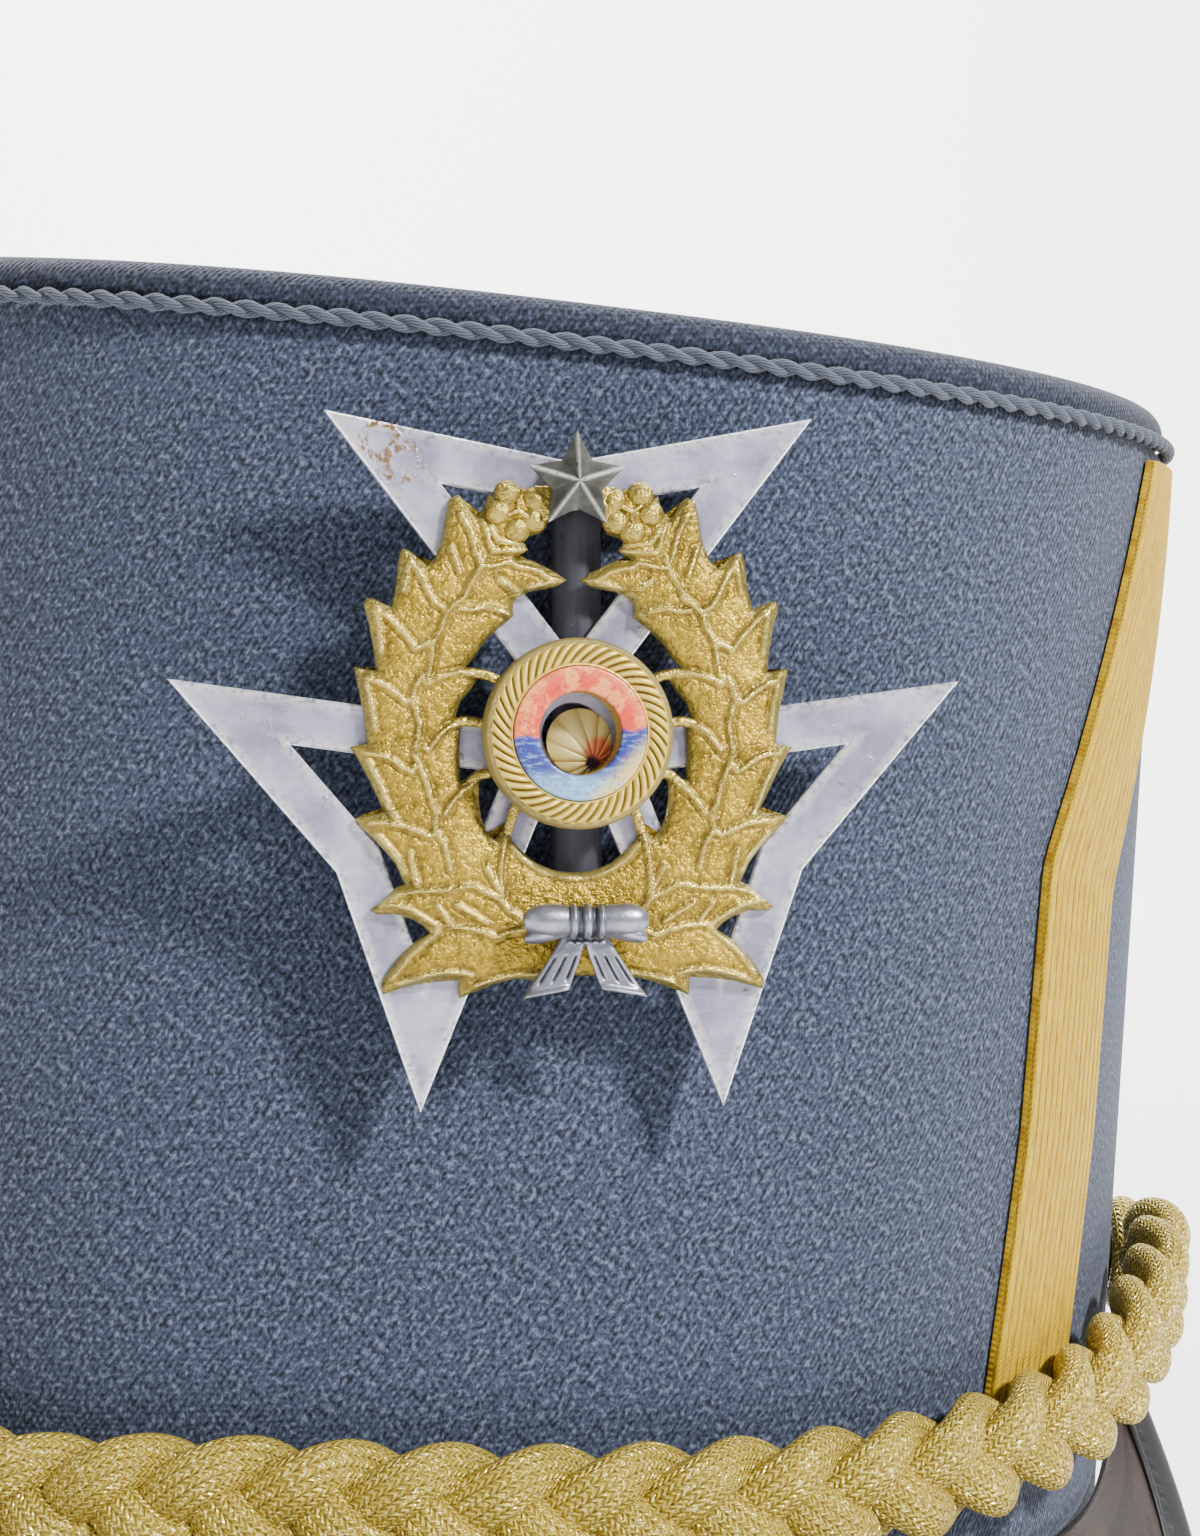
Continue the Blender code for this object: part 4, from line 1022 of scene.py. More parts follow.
@dataclass(frozen=True)
class Drum:
    """Tapered oval that the wall, the braids and the cords follow.

    Half-axes change evenly from base to top. A point lies at x = a s(sin az) and y = -b s(cos az),
    where s(v) is |v| to the power 2 / exponent with the sign of v.
    """

    middle_y: float
    base_half_width: float = 87.5 * MM
    base_half_length: float = 104.0 * MM
    top_half_width: float = 82.0 * MM
    top_half_length: float = 94.0 * MM
    exponent: float = 2.35
    cord_height: float = 146.0 * MM
    front_rise: float = 28.0 * MM
    wall: float = 2.5 * MM
    chamfer_height: float = 0.9 * MM
    chamfer_depth: float = 0.7 * MM

    def share(self, value: Array) -> Array:
        """Share of a half-axis that the oval reaches."""
        return np.sign(value) * np.abs(value) ** (2.0 / self.exponent)

    def point(self, azimuth: Array, height: Array, offset: Array = 0.0) -> Array:
        """Point on the drum's outer face.

        Args:
            azimuth: Degrees from the front.
            height: Metres above the floor.
            offset: Metres out from the face.

        Returns:
            Points, with 3 coordinates in their last axis.
        """
        azimuth, height, offset = np.broadcast_arrays(azimuth, height, offset)
        taper = height / self.cord_height
        half_width = (self.base_half_width
                      + (self.top_half_width - self.base_half_width) * taper + offset)
        half_length = (self.base_half_length
                       + (self.top_half_length - self.base_half_length) * taper + offset)
        angle = np.radians(azimuth)
        return np.stack([half_width * self.share(np.sin(angle)),
                         self.middle_y - half_length * self.share(np.cos(angle)),
                         height], axis=-1)

    def normal(self, azimuth: Array, height: Array) -> Array:
        """Unit vector out of the face: along x upward, from nearby points.

        Args:
            azimuth: Degrees from the front.
            height: Metres above the floor.

        Returns:
            Directions, with 3 coordinates in their last axis.
        """
        step = 0.5
        azimuth = np.asarray(azimuth, float)
        along = self.point(azimuth + step, height) - self.point(azimuth - step, height)
        upward = self.point(azimuth, height + 10 * MM) - self.point(azimuth, height)
        return unit(np.cross(along, upward))

    def rim_height(self, azimuth: Array) -> Array:
        """Height of the lower edge: lean + rise (1 + s(cos az)) / 2."""
        lean = self.wall * (self.base_half_length - self.top_half_length) / self.cord_height
        return lean + self.front_rise * (1.0 + self.share(np.cos(np.radians(azimuth)))) / 2


@dataclass(frozen=True)
class ClothBody:
    """Wall of the cap: whipcord outside, sweatband and lining inside, and the seam at the back."""

    drum: Drum
    columns: int = 288
    rows: int = 44
    band_height: float = 36.0 * MM
    seam_depth: float = 0.45 * MM
    seam_width: float = 1.1 * MM

    def offset(self, azimuth: Array, share: Array) -> Array:
        """Departure of the cloth from the oval.

        It is a slow swell of two waves, less the seam's groove exp(-(distance / width) squared)
        at the back.

        Args:
            azimuth: Degrees from the front.
            share: Share of the wall's height.

        Returns:
            Metres out from the oval.
        """
        swell = 0.12 * MM * np.sin(np.radians(azimuth * 5)) * np.sin(3.1 * share + azimuth / 40)
        back = np.minimum(180.0 - np.abs(azimuth), 90.0) * 1.55 * MM
        return swell * np.sin(math.pi * share) - self.seam_depth * np.exp(
            -(back / self.seam_width) ** 2)

    def build(self) -> None:
        """Carry the wall's profile round the oval."""
        azimuth = np.linspace(-180.0, 180.0, self.columns + 1)[None, :]
        low = self.drum.rim_height(azimuth)
        top = self.drum.cord_height - GAP / 2
        high = top - self.drum.chamfer_height
        share = np.linspace(0.0, 1.0, self.rows)[:, None]
        outer = self.drum.point(azimuth, low + (high - low) * share,
                                self.offset(azimuth, share))
        lip = self.drum.point(azimuth, np.full_like(azimuth, top), -self.drum.chamfer_depth)
        inner_share = np.linspace(1.0, 0.0, self.rows)[:, None]
        inner_high = top - 0.1 * MM
        inner = self.drum.point(azimuth, low + (inner_high - low) * inner_share, -self.drum.wall)
        brink = self.drum.point(azimuth, np.full_like(azimuth, top), -self.drum.wall + 0.1 * MM)
        points = np.concatenate([outer, lip, brink, inner, outer[:1]])
        around = lengths_along(self.drum.point(azimuth[0], np.full_like(azimuth[0], 0.08)))
        around = around - around[len(around) // 2]
        flat = spread(around[None, :], points[..., 2])
        coats = np.zeros(len(points) - 1, int)
        inside = slice(self.rows + 1, 2 * self.rows + 1)
        coats[inside] = np.where(points[inside].mean(axis=1)[:, 2] < self.band_height, 2, 1)
        patch = Patch(points, flat, coats=coats).outward()
        make_piece("cloth_body", [patch],
                   [Whipcord("whipcord"), Lining("lining"), Sweatband("sweatband")],
                   ("body_shell",), 50.0)


@dataclass(frozen=True)
class ClothCrown:
    """Top panel of the cap, with a rounded edge that turns down onto the drum."""

    drum: Drum
    columns: int = 288
    rise: float = 4.2 * MM
    edge_radius: float = 2.6 * MM
    thickness: float = 2.2 * MM
    dish: float = 0.5 * MM

    def build(self) -> None:
        """Carry the edge's quarter circle round the oval, and draw its last row to the middle."""
        azimuth = np.linspace(-180.0, 180.0, self.columns + 1)[None, :]
        angle = np.linspace(0.0, math.pi / 2, 9)
        inset = np.concatenate([[self.drum.chamfer_depth, 0.0],
                                self.edge_radius * (1.0 - np.cos(angle))])
        rise = np.concatenate([[GAP / 2, self.drum.chamfer_height],
                               self.rise - self.edge_radius * (1.0 - np.sin(angle))])
        height = np.full_like(azimuth, self.drum.cord_height)
        edge = self.drum.point(azimuth, height, -inset[:, None])
        edge[..., 2] += rise[:, None]
        middle = np.array([0.0, self.drum.middle_y, 0.0])
        share = np.linspace(1.0, 0.0, 26)[1:, None, None]
        top = middle + (edge[-1:] - middle) * share
        top[..., 2] = edge[-1, 0, 2] - self.dish * (1.0 - share[..., 0] ** 2) ** 2
        under_share = np.linspace(0.0, 1.0, 20)[:, None, None]
        rim = self.drum.point(azimuth, height, -self.edge_radius)
        under = middle + (rim - middle) * under_share
        under[..., 2] = (edge[-1, 0, 2] - self.thickness
                         - self.dish * (1.0 - under_share[..., 0] ** 2) ** 2)
        points = np.concatenate([edge, top, under, edge[:1]])
        coats = np.zeros(len(points) - 1, int)
        coats[len(edge) + len(top) - 1:] = 1
        patch = Patch(points, points[..., :2] - middle[:2], coats=coats).outward()
        around = lengths_along(edge[1])
        turned_down = spread(
            np.where(patch.points[:1, :, 0] == points[:1, :, 0], around, around[::-1])[:1],
            lengths_along(edge[:, 0])[:, None])
        last = len(edge)
        patches = [Patch(patch.points[:last], turned_down, coats=coats[:last - 1]),
                   Patch(patch.points[last - 1:], patch.flat[last - 1:], coats=coats[last - 1:])]
        # The crown's whipcord is a darker copy of the drum's cloth: painted shade.
        cloth = Whipcord("crown_whipcord_shaded_copy", dark=tone(12, 14, 22), middle=tone(34, 40, 56),
                         light=tone(74, 82, 102))
        make_piece("cloth_crown", patches, [cloth, Lining("crown_lining")],
                   ("crown_top",), 60.0)


@dataclass(frozen=True)
class RimCord:
    """Two plies twisted together, laid in the seam below the top panel."""

    drum: Drum
    ply_radius: float = 0.47 * MM
    twist_radius: float = 0.42 * MM
    pitch: float = 6.2 * MM
    cord_radius: float = 0.85 * MM
    rings_per_turn: int = 18
    sides: int = 8

    def build(self) -> None:
        """Carry a circle along each helix: middle + twist radius (cos p across + sin p out)."""
        slope = math.atan2(self.drum.chamfer_depth, self.drum.chamfer_height)
        offset = ((self.cord_radius + GAP) / math.cos(slope)
                  - self.drum.chamfer_height * math.tan(slope))
        azimuth = np.linspace(-180.0, 180.0, 1441)
        rough = self.drum.point(azimuth, np.full_like(azimuth, self.drum.cord_height), offset)
        distance = lengths_along(rough)
        turns = round(distance[-1] / self.pitch)
        place = np.linspace(0.0, distance[-1], turns * self.rings_per_turn + 1)
        middle = np.stack([np.interp(place, distance, rough[:, axis]) for axis in range(3)], -1)
        middle[-1] = middle[0]
        outward = middle - np.array([0.0, self.drum.middle_y, self.drum.cord_height])
        across, out = path_axes(middle, outward, closed=True)
        patches = []
        for start in (0.0, math.pi):
            phase = (2 * math.pi * turns * place / distance[-1] + start)[:, None]
            helix = middle + self.twist_radius * (across * np.cos(phase) + out * np.sin(phase))
            helix[-1] = helix[0]
            ply_across, ply_out = path_axes(helix, helix - middle + out * 1e-5, closed=True)
            angle = ring(self.sides)
            section = self.ply_radius * spread(np.cos(angle), np.sin(angle))
            grid = carry(helix, ply_across, ply_out, section)
            patches.append(Patch(grid, tube_flat(grid)).outward())
        make_piece("twisted_rim_cord", patches, [TwistedCord("rim_cord_yarn")],
                   ("rim_cord",))


@dataclass(frozen=True)
class SideBraid:
    """Flat gold braid down one side: it leans back above, and runs upright below."""

    drum: Drum
    side: Side
    thickness: float = 1.2 * MM
    drop: float = 104.5 * MM
    ribs: int = 13
    rib_relief: float = 0.12 * MM
    corners: tuple = (
        # front azimuth, front depth, rear azimuth, rear depth
        (53.0, 0.022, 66.0, 0.022),
        (37.2, 0.445, 48.4, 0.470),
        (36.4, 0.720, 47.4, 0.730),
        (33.7, 1.000, 44.2, 1.000),
    )

    def build(self) -> None:
        """Blend the braid's two edges, and add ribs sqrt|sin(pi ribs share)| to its thickness."""
        table = np.array(self.corners)
        rows = np.linspace(0.0, len(table) - 1.0, 190)
        knots = np.arange(len(table))
        edges = [np.interp(rows, knots, table[:, column]) for column in range(4)]
        kernel = np.hanning(15) / np.hanning(15).sum()
        smooth = [np.convolve(np.pad(edge, 7, "reflect", reflect_type="odd"), kernel, "valid")
                  for edge in edges]
        front_azimuth, front_depth, rear_azimuth, rear_depth = (edge[:, None] for edge in smooth)
        share = np.linspace(0.0, 1.0, self.ribs * 8 + 1)[None, :]
        azimuth = (front_azimuth + (rear_azimuth - front_azimuth) * share) * self.side.value
        depth = front_depth + (rear_depth - front_depth) * share
        height = self.drum.cord_height - self.drop * depth
        relief = np.sqrt(np.abs(np.sin(math.pi * self.ribs * share)))
        edge_fall = 0.5 * MM * np.clip(1.0 - np.minimum(share, 1.0 - share) / 0.03, 0.0, 1.0) ** 2
        outer = self.drum.point(azimuth, height, GAP + self.thickness - self.rib_relief
                                + self.rib_relief * relief - edge_fall)
        back = self.drum.point(azimuth, height, GAP)
        shell = np.concatenate([outer, back[:, ::-1], outer[:, :1]], axis=1)
        ends = np.concatenate([back, back[:, ::-1], back[:, :1]], axis=1)
        points = np.concatenate([ends[:1], shell, ends[-1:]])
        across = lengths_along(outer[len(outer) // 2])
        along = lengths_along(outer[:, share.size // 2])
        columns = np.concatenate([across, across[::-1], across[:1]])
        shares = np.concatenate([share[0], share[0, ::-1], share[0, :1]])
        rows_along = np.concatenate([along[:1], along, along[-1:]])
        flat = spread(columns[None, :], rows_along[:, None])
        values = {"across": np.broadcast_to(shares, points.shape[:2])}
        label = self.side.name.lower()
        make_piece(f"ribbed_braid_{label}", [Patch(points, flat, values).outward()],
                   [FlatBraid(f"braid_silk_{label}")], (f"side_braid_{label}",), 60.0)


@dataclass(frozen=True)
class PlaitedStrap:
    """Front strap: three fat knitted cords plaited together."""

    drum: Drum
    layer: float = 5.4 * MM
    end_angle: float = 73.0
    period: float = 28.2 * MM
    swing: float = 3.9 * MM
    lift: float = 1.75 * MM
    half_width: float = 2.75 * MM
    half_depth: float = 1.95 * MM
    rings: int = 620
    sides: int = 22
    route: tuple = (
        # azimuth, share of the cord's height
        (-84.0, 0.322), (-70.0, 0.328), (-56.0, 0.272), (-42.0, 0.234), (-26.0, 0.221),
        (-14.0, 0.236), (3.0, 0.247), (20.0, 0.263), (33.0, 0.281), (45.0, 0.303),
        (56.0, 0.336), (70.0, 0.357), (84.0, 0.318),
    )

    def height(self, azimuth: Array) -> Array:
        """Height of the middle line: a cubic between rows, with slopes from their neighbours.

        Args:
            azimuth: Degrees from the front.

        Returns:
            Metres above the floor.
        """
        places, values = np.array(self.route).T
        index = np.clip(np.searchsorted(places, azimuth, side="right") - 1, 1, len(places) - 3)
        low, high = places[index], places[index + 1]
        span = high - low
        share = (azimuth - low) / span
        slope_low = (values[index + 1] - values[index - 1]) / (high - places[index - 1]) * span
        slope_high = (values[index + 2] - values[index]) / (places[index + 2] - low) * span
        square, cube = share ** 2, share ** 3
        return self.drum.cord_height * (
            (2 * cube - 3 * square + 1) * values[index] + (cube - 2 * square + share) * slope_low
            + (3 * square - 2 * cube) * values[index + 1] + (cube - square) * slope_high)

    def middle(self) -> tuple[Array, Array, Array]:
        """Middle line at equal steps.

        Returns:
            Its points, the distances along it and the outward directions.
        """
        fine = np.linspace(-self.end_angle, self.end_angle, 2401)
        line = self.drum.point(fine, self.height(fine), self.layer)
        distance = lengths_along(line)
        place = np.linspace(0.0, distance[-1], self.rings)
        azimuth = np.interp(place, distance, fine)
        height = self.height(azimuth)
        return (self.drum.point(azimuth, height, self.layer), place,
                self.drum.normal(azimuth, height))

    def build(self) -> None:
        """Carry an ellipse along middle + up swing sin p + out lift sin 2p, for three phases p."""
        middle, place, outward = self.middle()
        upward, out = path_axes(middle, outward)
        end_fade = np.clip(np.minimum(place, place[-1] - place) / (9 * MM), 0.0, 1.0)[:, None]
        squeeze = 0.45 + 0.55 * np.sin(end_fade * math.pi / 2)
        angle = ring(self.sides)
        for strand in range(3):
            phase = 2 * math.pi * (place / self.period + strand / 3)[:, None]
            path = (middle + upward * self.swing * squeeze * np.sin(phase)
                    + out * self.lift * np.sin(2 * phase))
            across, away = path_axes(path, outward)
            bulge = 1.0 + 0.06 * np.cos(2 * phase)
            # A cord that lies on its neighbours is fuller in its middle than at its edges
            section = np.stack([self.half_width * bulge * np.cos(angle),
                                self.half_depth * bulge * np.sign(np.sin(angle))
                                * np.abs(np.sin(angle)) ** 0.9], axis=-1)
            grid = carry(path, across, away, section)
            flat = tube_flat(grid)
            patch = Patch(close_ends(grid), np.concatenate([flat[:1], flat, flat[-1:]]))
            make_piece(f"plait_cord_{strand + 1}", [patch.outward()],
                       [Lame(f"plait_lame_{strand + 1}")], (f"strap_strand_{strand + 1}",))


@dataclass(frozen=True)
class Visor:
    """Leather visor below the front of the drum, with a bound and stitched edge."""

    drum: Drum
    half_angle: float = 72.0
    end_rise: float = 19.0 * MM
    reach: float = 40.0 * MM
    thickness: float = 2.0 * MM
    bulge: float = 2.0 * MM
    side_power: float = 1.6
    corner_power: float = 1.0
    binding_radius: float = 1.6 * MM
    binding_share: float = 0.995

    def drop(self) -> float:
        """Fall from root to edge, found by repetition.

        Returns:
            Metres, which set the binding down on the floor.
        """
        root = float(self.drum.rim_height(0.0))
        drop = root
        for _ in range(8):
            slope = math.atan2(drop + math.pi * self.bulge, self.reach)
            drop = (root - self.binding_radius - (GAP + self.binding_radius) * math.sin(slope)
                    - self.thickness / 2 * math.cos(slope))
        return drop

    def point(self, share: Array, out: Array) -> Array:
        """Point on the upper face.

        It is root + level direction * reach * out, less drop * out, plus a bulge of a half wave.

        Args:
            share: From side to side, -1 to 1.
            out: From root to edge, 0 to 1.

        Returns:
            Points, with 3 coordinates in their last axis.
        """
        share, out = np.broadcast_arrays(share, out)
        azimuth = self.half_angle * share
        height = self.drum.rim_height(azimuth) + self.end_rise * share ** 4
        lean = math.sin(math.atan2(self.drum.front_rise, self.reach))
        root = self.drum.point(azimuth, height, GAP + self.thickness * lean)
        level = self.drum.normal(azimuth, height) * np.array([1.0, 1.0, 0.0])
        direction = unit(unit(level) + np.array([0.0, -1.0, 0.0]))
        width = np.maximum(1.0 - np.abs(share) ** self.side_power, 0.0)
        reach = self.reach * width ** self.corner_power
        fall = reach / self.reach * self.drop() * out
        rise = self.bulge * width * np.sin(math.pi * out) - fall
        points = root + direction * (reach * out)[..., None]
        points[..., 2] += rise
        return points

    def build(self) -> None:
        """Thicken the upper face downwards, and carry the binding's profile along its edge."""
        share = np.sin(np.linspace(-math.pi / 2, math.pi / 2, 129))[None, :]
        out = np.linspace(0.0, 1.0, 25)[:, None]
        points = self.point(share, out)
        across = lengths_along(points[-1])
        flat = spread(across[None, :], self.reach * out)
        patch = Patch(points, flat)
        a, b, _, d = corners(points)
        if np.cross(b - a, d - a)[..., 2].sum() < 0:
            patch = patch.reversed()
        piece = make_piece("leather_visor", [patch], [PatentLeather("patent_leather")],
                           ("visor",), 60.0)
        wall = piece.modifiers.new("thickness", "SOLIDIFY")
        wall.thickness = self.thickness
        wall.offset = -1.0
        wall.use_even_offset = True
        self.build_binding()

    def build_binding(self) -> None:
        """Binding that laps over the edge, with the groove of its stitches."""
        share = self.binding_share * np.sin(np.linspace(-math.pi / 2, math.pi / 2, 261))
        step = 0.002
        edge = self.point(share, np.ones_like(share))
        along = unit(self.point(share + step, np.ones_like(share))
                     - self.point(share - step, np.ones_like(share)))
        outward = edge - self.point(share, np.full_like(share, 1.0 - step))
        outward = unit(outward - along * np.sum(outward * along, axis=-1, keepdims=True))
        upward = np.cross(outward, along)
        upward = upward * np.sign(upward[:, 2:])
        radius = self.binding_radius
        centre = GAP + radius
        arc = np.linspace(math.pi / 2, -math.pi / 2, 15)
        roll = np.stack([centre + radius * np.cos(arc),
                         radius * np.sin(arc) - self.thickness / 2], -1)
        upper = np.array([[-2.4, -0.10], [-2.35, 0.22], [-2.0, 0.34], [-1.5, 0.30], [-1.25, 0.16],
                          [-1.0, 0.30], [-0.2, 0.42], [0.9, 0.58]]) * MM
        under = np.array([[0.6, -2.5], [-1.6, -2.3], [-1.8, -1.9], [-1.0, -1.0]]) * MM
        section = np.concatenate([upper, roll, under, upper[:1]])
        groove = np.exp(-((section[:, 0] + 1.25 * MM) / (0.35 * MM)) ** 2) * (section[:, 1] > 0)
        fade = np.sqrt(np.clip((1.0 - np.abs(share)) / 0.03, 0.05, 1.0))[:, None, None]
        lap = np.minimum(section[:, 0], centre)[None, :, None] * fade
        proud = np.maximum(section[:, 0] - centre, 0.0)[None, :, None]
        shaped = np.concatenate([lap + proud, np.broadcast_to(section[None, :, 1:], lap.shape)], -1)
        grid = carry(edge, outward, upward, shaped)
        points = close_ends(grid)
        values = {"groove": np.broadcast_to(groove, points.shape[:2])}
        flat = tube_flat(grid)
        patch = Patch(points, np.concatenate([flat[:1], flat, flat[-1:]]), values)
        make_piece("bound_edge", [patch.outward()], [BindingLeather("binding_leather_black")],
                   ("visor_binding",))


@dataclass(frozen=True)
class Mount:
    """Local axes on the drum: rows of axes are local X, Y and Z, and Z points out of the wall."""

    origin: Array
    axes: Array

    @classmethod
    def on_drum(cls, drum: Drum, azimuth: float, height: float, turn: float = 0.0) -> "Mount":
        """Axes at a point of the drum, turned about its outward direction.

        Args:
            drum: Shape of the wall.
            azimuth: Degrees from the front.
            height: Metres above the floor.
            turn: Degrees anticlockwise, seen from outside.

        Returns:
            The axes.
        """
        outward = drum.normal(azimuth, height)
        right = unit(np.cross((0.0, 0.0, 1.0), outward))
        upward = np.cross(outward, right)
        cosine, sine = math.cos(math.radians(turn)), math.sin(math.radians(turn))
        axes = np.stack([right * cosine + upward * sine, upward * cosine - right * sine, outward])
        return cls(drum.point(azimuth, height), axes)

    def world(self, points: Array, layer: float = 0.0, place: tuple = (0.0, 0.0)) -> Array:
        """Local points moved to a place and a layer, in the cap's frame."""
        return self.origin + (points + np.array([*place, layer])) @ self.axes

    def patch(self, points: Array, layer: float = 0.0, place: tuple = (0.0, 0.0),
              values: dict[str, Array] | None = None) -> Patch:
        """Patch of local points, whose flat places are their local X and Y.

        Args:
            points: Rows, columns and 3 local coordinates.
            layer: Distance out from the wall.
            place: Local X and Y to add.
            values: Numbers at each point, by name.

        Returns:
            The patch, facing outward.
        """
        flat = points[..., :2] + np.array(place)
        return Patch(self.world(points, layer, place), flat, values or {}).outward()


def turned(profile: Array, sides: int) -> Array:
    """Surface turned about local Z: (r cos a, r sin a, z) for each radius r and height z."""
    angle, radius, height = ring(sides)[None, :], profile[:, :1], profile[:, 1:2]
    return spread(radius * np.cos(angle), radius * np.sin(angle), height)


def ball(centre: tuple, radii: tuple, rows: int = 12, columns: int = 20) -> Array:
    """Ellipsoid as a grid from pole to pole."""
    polar = np.linspace(0.0, math.pi, rows + 1)
    return turned(spread(np.sin(polar), np.cos(polar)), columns) * np.array(radii) + centre


def bar(path: Array, half_width: float, height: float, base: float, sides: int = 12) -> Array:
    """Round-topped bar along a flat path.

    Args:
        path: Rows of x and y.
        half_width: Half of its width.
        height: Height of its crest.
        base: Height of its foot.
        sides: Faces round it.

    Returns:
        Grid of its points, with closed ends.
    """
    line = np.concatenate([path, np.full((len(path), 1), (base + height) / 2)], axis=1)
    toward = np.broadcast_to(np.array([0.0, 0.0, 1.0]), line.shape)
    across, out = path_axes(line, toward)
    angle = ring(sides)
    section = np.stack([half_width * np.cos(angle), (height - base) / 2 * np.sin(angle)], -1)
    return close_ends(carry(line, across, out, section))


def strokes(text: str, joined: bool = False) -> list[Array]:
    """Polylines written as 8.1,22.4 8.4,21.2 with a slash between two of them.

    Args:
        text: Their points in mm.
        joined: Whether each one begins where the one before it ends.

    Returns:
        Rows of x and y of each polyline, in mm.
    """
    lines = [np.array([point.split(",") for point in part.split()], float)
             for part in text.split("/")]
    if joined:
        lines[1:] = [np.concatenate([before[-1:], now]) for before, now in zip(lines, lines[1:])]
    return lines


def at_shares(line: Array, shares: Array) -> Array:
    """Points of a polyline at shares of its length.

    Args:
        line: Rows of x and y in mm.
        shares: From 0 at its start to 1 at its end.

    Returns:
        Rows of x and y in metres.
    """
    points = line * MM
    distance = lengths_along(points)
    wanted = shares * distance[-1]
    return np.stack([np.interp(wanted, distance, points[:, axis]) for axis in range(2)], -1)


def distance_to(points: Array, lines: list[Array]) -> Array:
    """Distance of flat points from the nearest of some polylines, which are in mm.

    On each segment from a to b, the nearest point is a + t (b - a) with t = (p - a).(b - a) over
    (b - a).(b - a), kept between 0 and 1.

    Args:
        points: Flat points in metres.
        lines: Polylines.

    Returns:
        Distances in metres.
    """
    nearest = np.full(points.shape[:-1], np.inf)
    for line in lines:
        for start, end in zip(line * MM, line[1:] * MM):
            span = end - start
            share = np.clip((points - start) @ span / max(span @ span, 1e-18), 0.0, 1.0)
            foot = start + share[..., None] * span
            nearest = np.minimum(nearest, np.linalg.norm(points - foot, axis=-1))
    return nearest


@dataclass(frozen=True)
class SilverPlate:
    """Plate of three hollow arms with notched tails, joined at a ring."""

    mount: Mount
    layer: float = 5.8 * MM
    half_thickness: float = 0.5 * MM
    reach: float = 38.0 * MM
    notch: float = 25.6 * MM
    half_angle: float = 37.7
    band: float = 4.5 * MM
    hub: float = 8.2 * MM
    bore: float = 2.9 * MM
    bevel: float = 0.18 * MM

    def arm(self) -> tuple[Array, Array]:
        """Corners of an arm along local X.

        Returns:
            Its outer edge, and its inner edge a band inside that.
        """
        half = math.radians(self.half_angle)
        side = np.array([math.cos(half), math.sin(half)])
        tip = side * self.reach
        notch = np.array([self.notch, 0.0])
        tail = unit(tip - notch)
        apex = np.array([self.band / math.sin(half), 0.0])
        inner_notch = np.array([self.notch - self.band / tail[1], 0.0])
        # The inset edges meet where apex + s side = inner notch + r tail
        share = ((inner_notch - apex)[0] * tail[1]) / (side[0] * tail[1] - side[1] * tail[0])
        corner = apex + share * side
        flip = np.array([1.0, -1.0])
        outer = np.stack([side * (self.hub - 0.4 * MM) * flip, tip * flip, notch, tip,
                          side * (self.hub - 0.4 * MM)])
        inner = np.stack([apex, corner * flip, inner_notch, corner, apex])
        return outer, inner

    def build(self) -> None:
        """Carry a bevelled section round each arm, and turn the ring at the middle."""
        outer, inner = self.arm()
        steps = np.linspace(0.0, 4.0, 4 * 24 + 1)
        edges = [np.stack([np.interp(steps, np.arange(5), line[:, axis]) for axis in range(2)], -1)
                 for line in (outer, inner)]
        bevel = self.bevel / self.band
        share = np.array([0.0, 0.0, bevel, 0.25, 0.5, 0.75, 1.0 - bevel, 1.0, 1.0, 0.5, 0.0])
        top = self.half_thickness
        height = np.array([-top, top - self.bevel, top, top, top, top, top, top - self.bevel,
                           -top, -top, -top])
        edge = np.array([0.0, 1.0, 1.0, 0.0, 0.0, 0.0, 1.0, 1.0, 0.0, 0.0, 0.0])
        flat = edges[0][:, None] + (edges[1] - edges[0])[:, None] * share[None, :, None]
        grid = np.concatenate([flat, np.broadcast_to(height[None, :, None],
                                                     (*flat.shape[:2], 1))], -1)
        values = {"edge": np.broadcast_to(edge, (len(grid) + 2, len(edge)))}
        patches = []
        for axis in (90.0, 210.0, 330.0):
            angle = math.radians(axis)
            spin = np.array([[math.cos(angle), math.sin(angle), 0.0],
                             [-math.sin(angle), math.cos(angle), 0.0], [0.0, 0.0, 1.0]])
            patches.append(self.mount.patch(close_ends(grid @ spin), self.layer, values=values))
        low = top - 0.03 * MM
        hub = np.array([[self.bore, -low], [self.bore, low - 0.1 * MM], [self.bore + 0.1 * MM, low],
                        [self.hub, low], [self.hub, -low], [self.bore, -low]])
        patches.append(self.mount.patch(turned(hub, 96), self.layer))
        make_piece("silver_plate", patches, [CastSilver("plate_silver")], ("badge_plate",),
                   30.0)


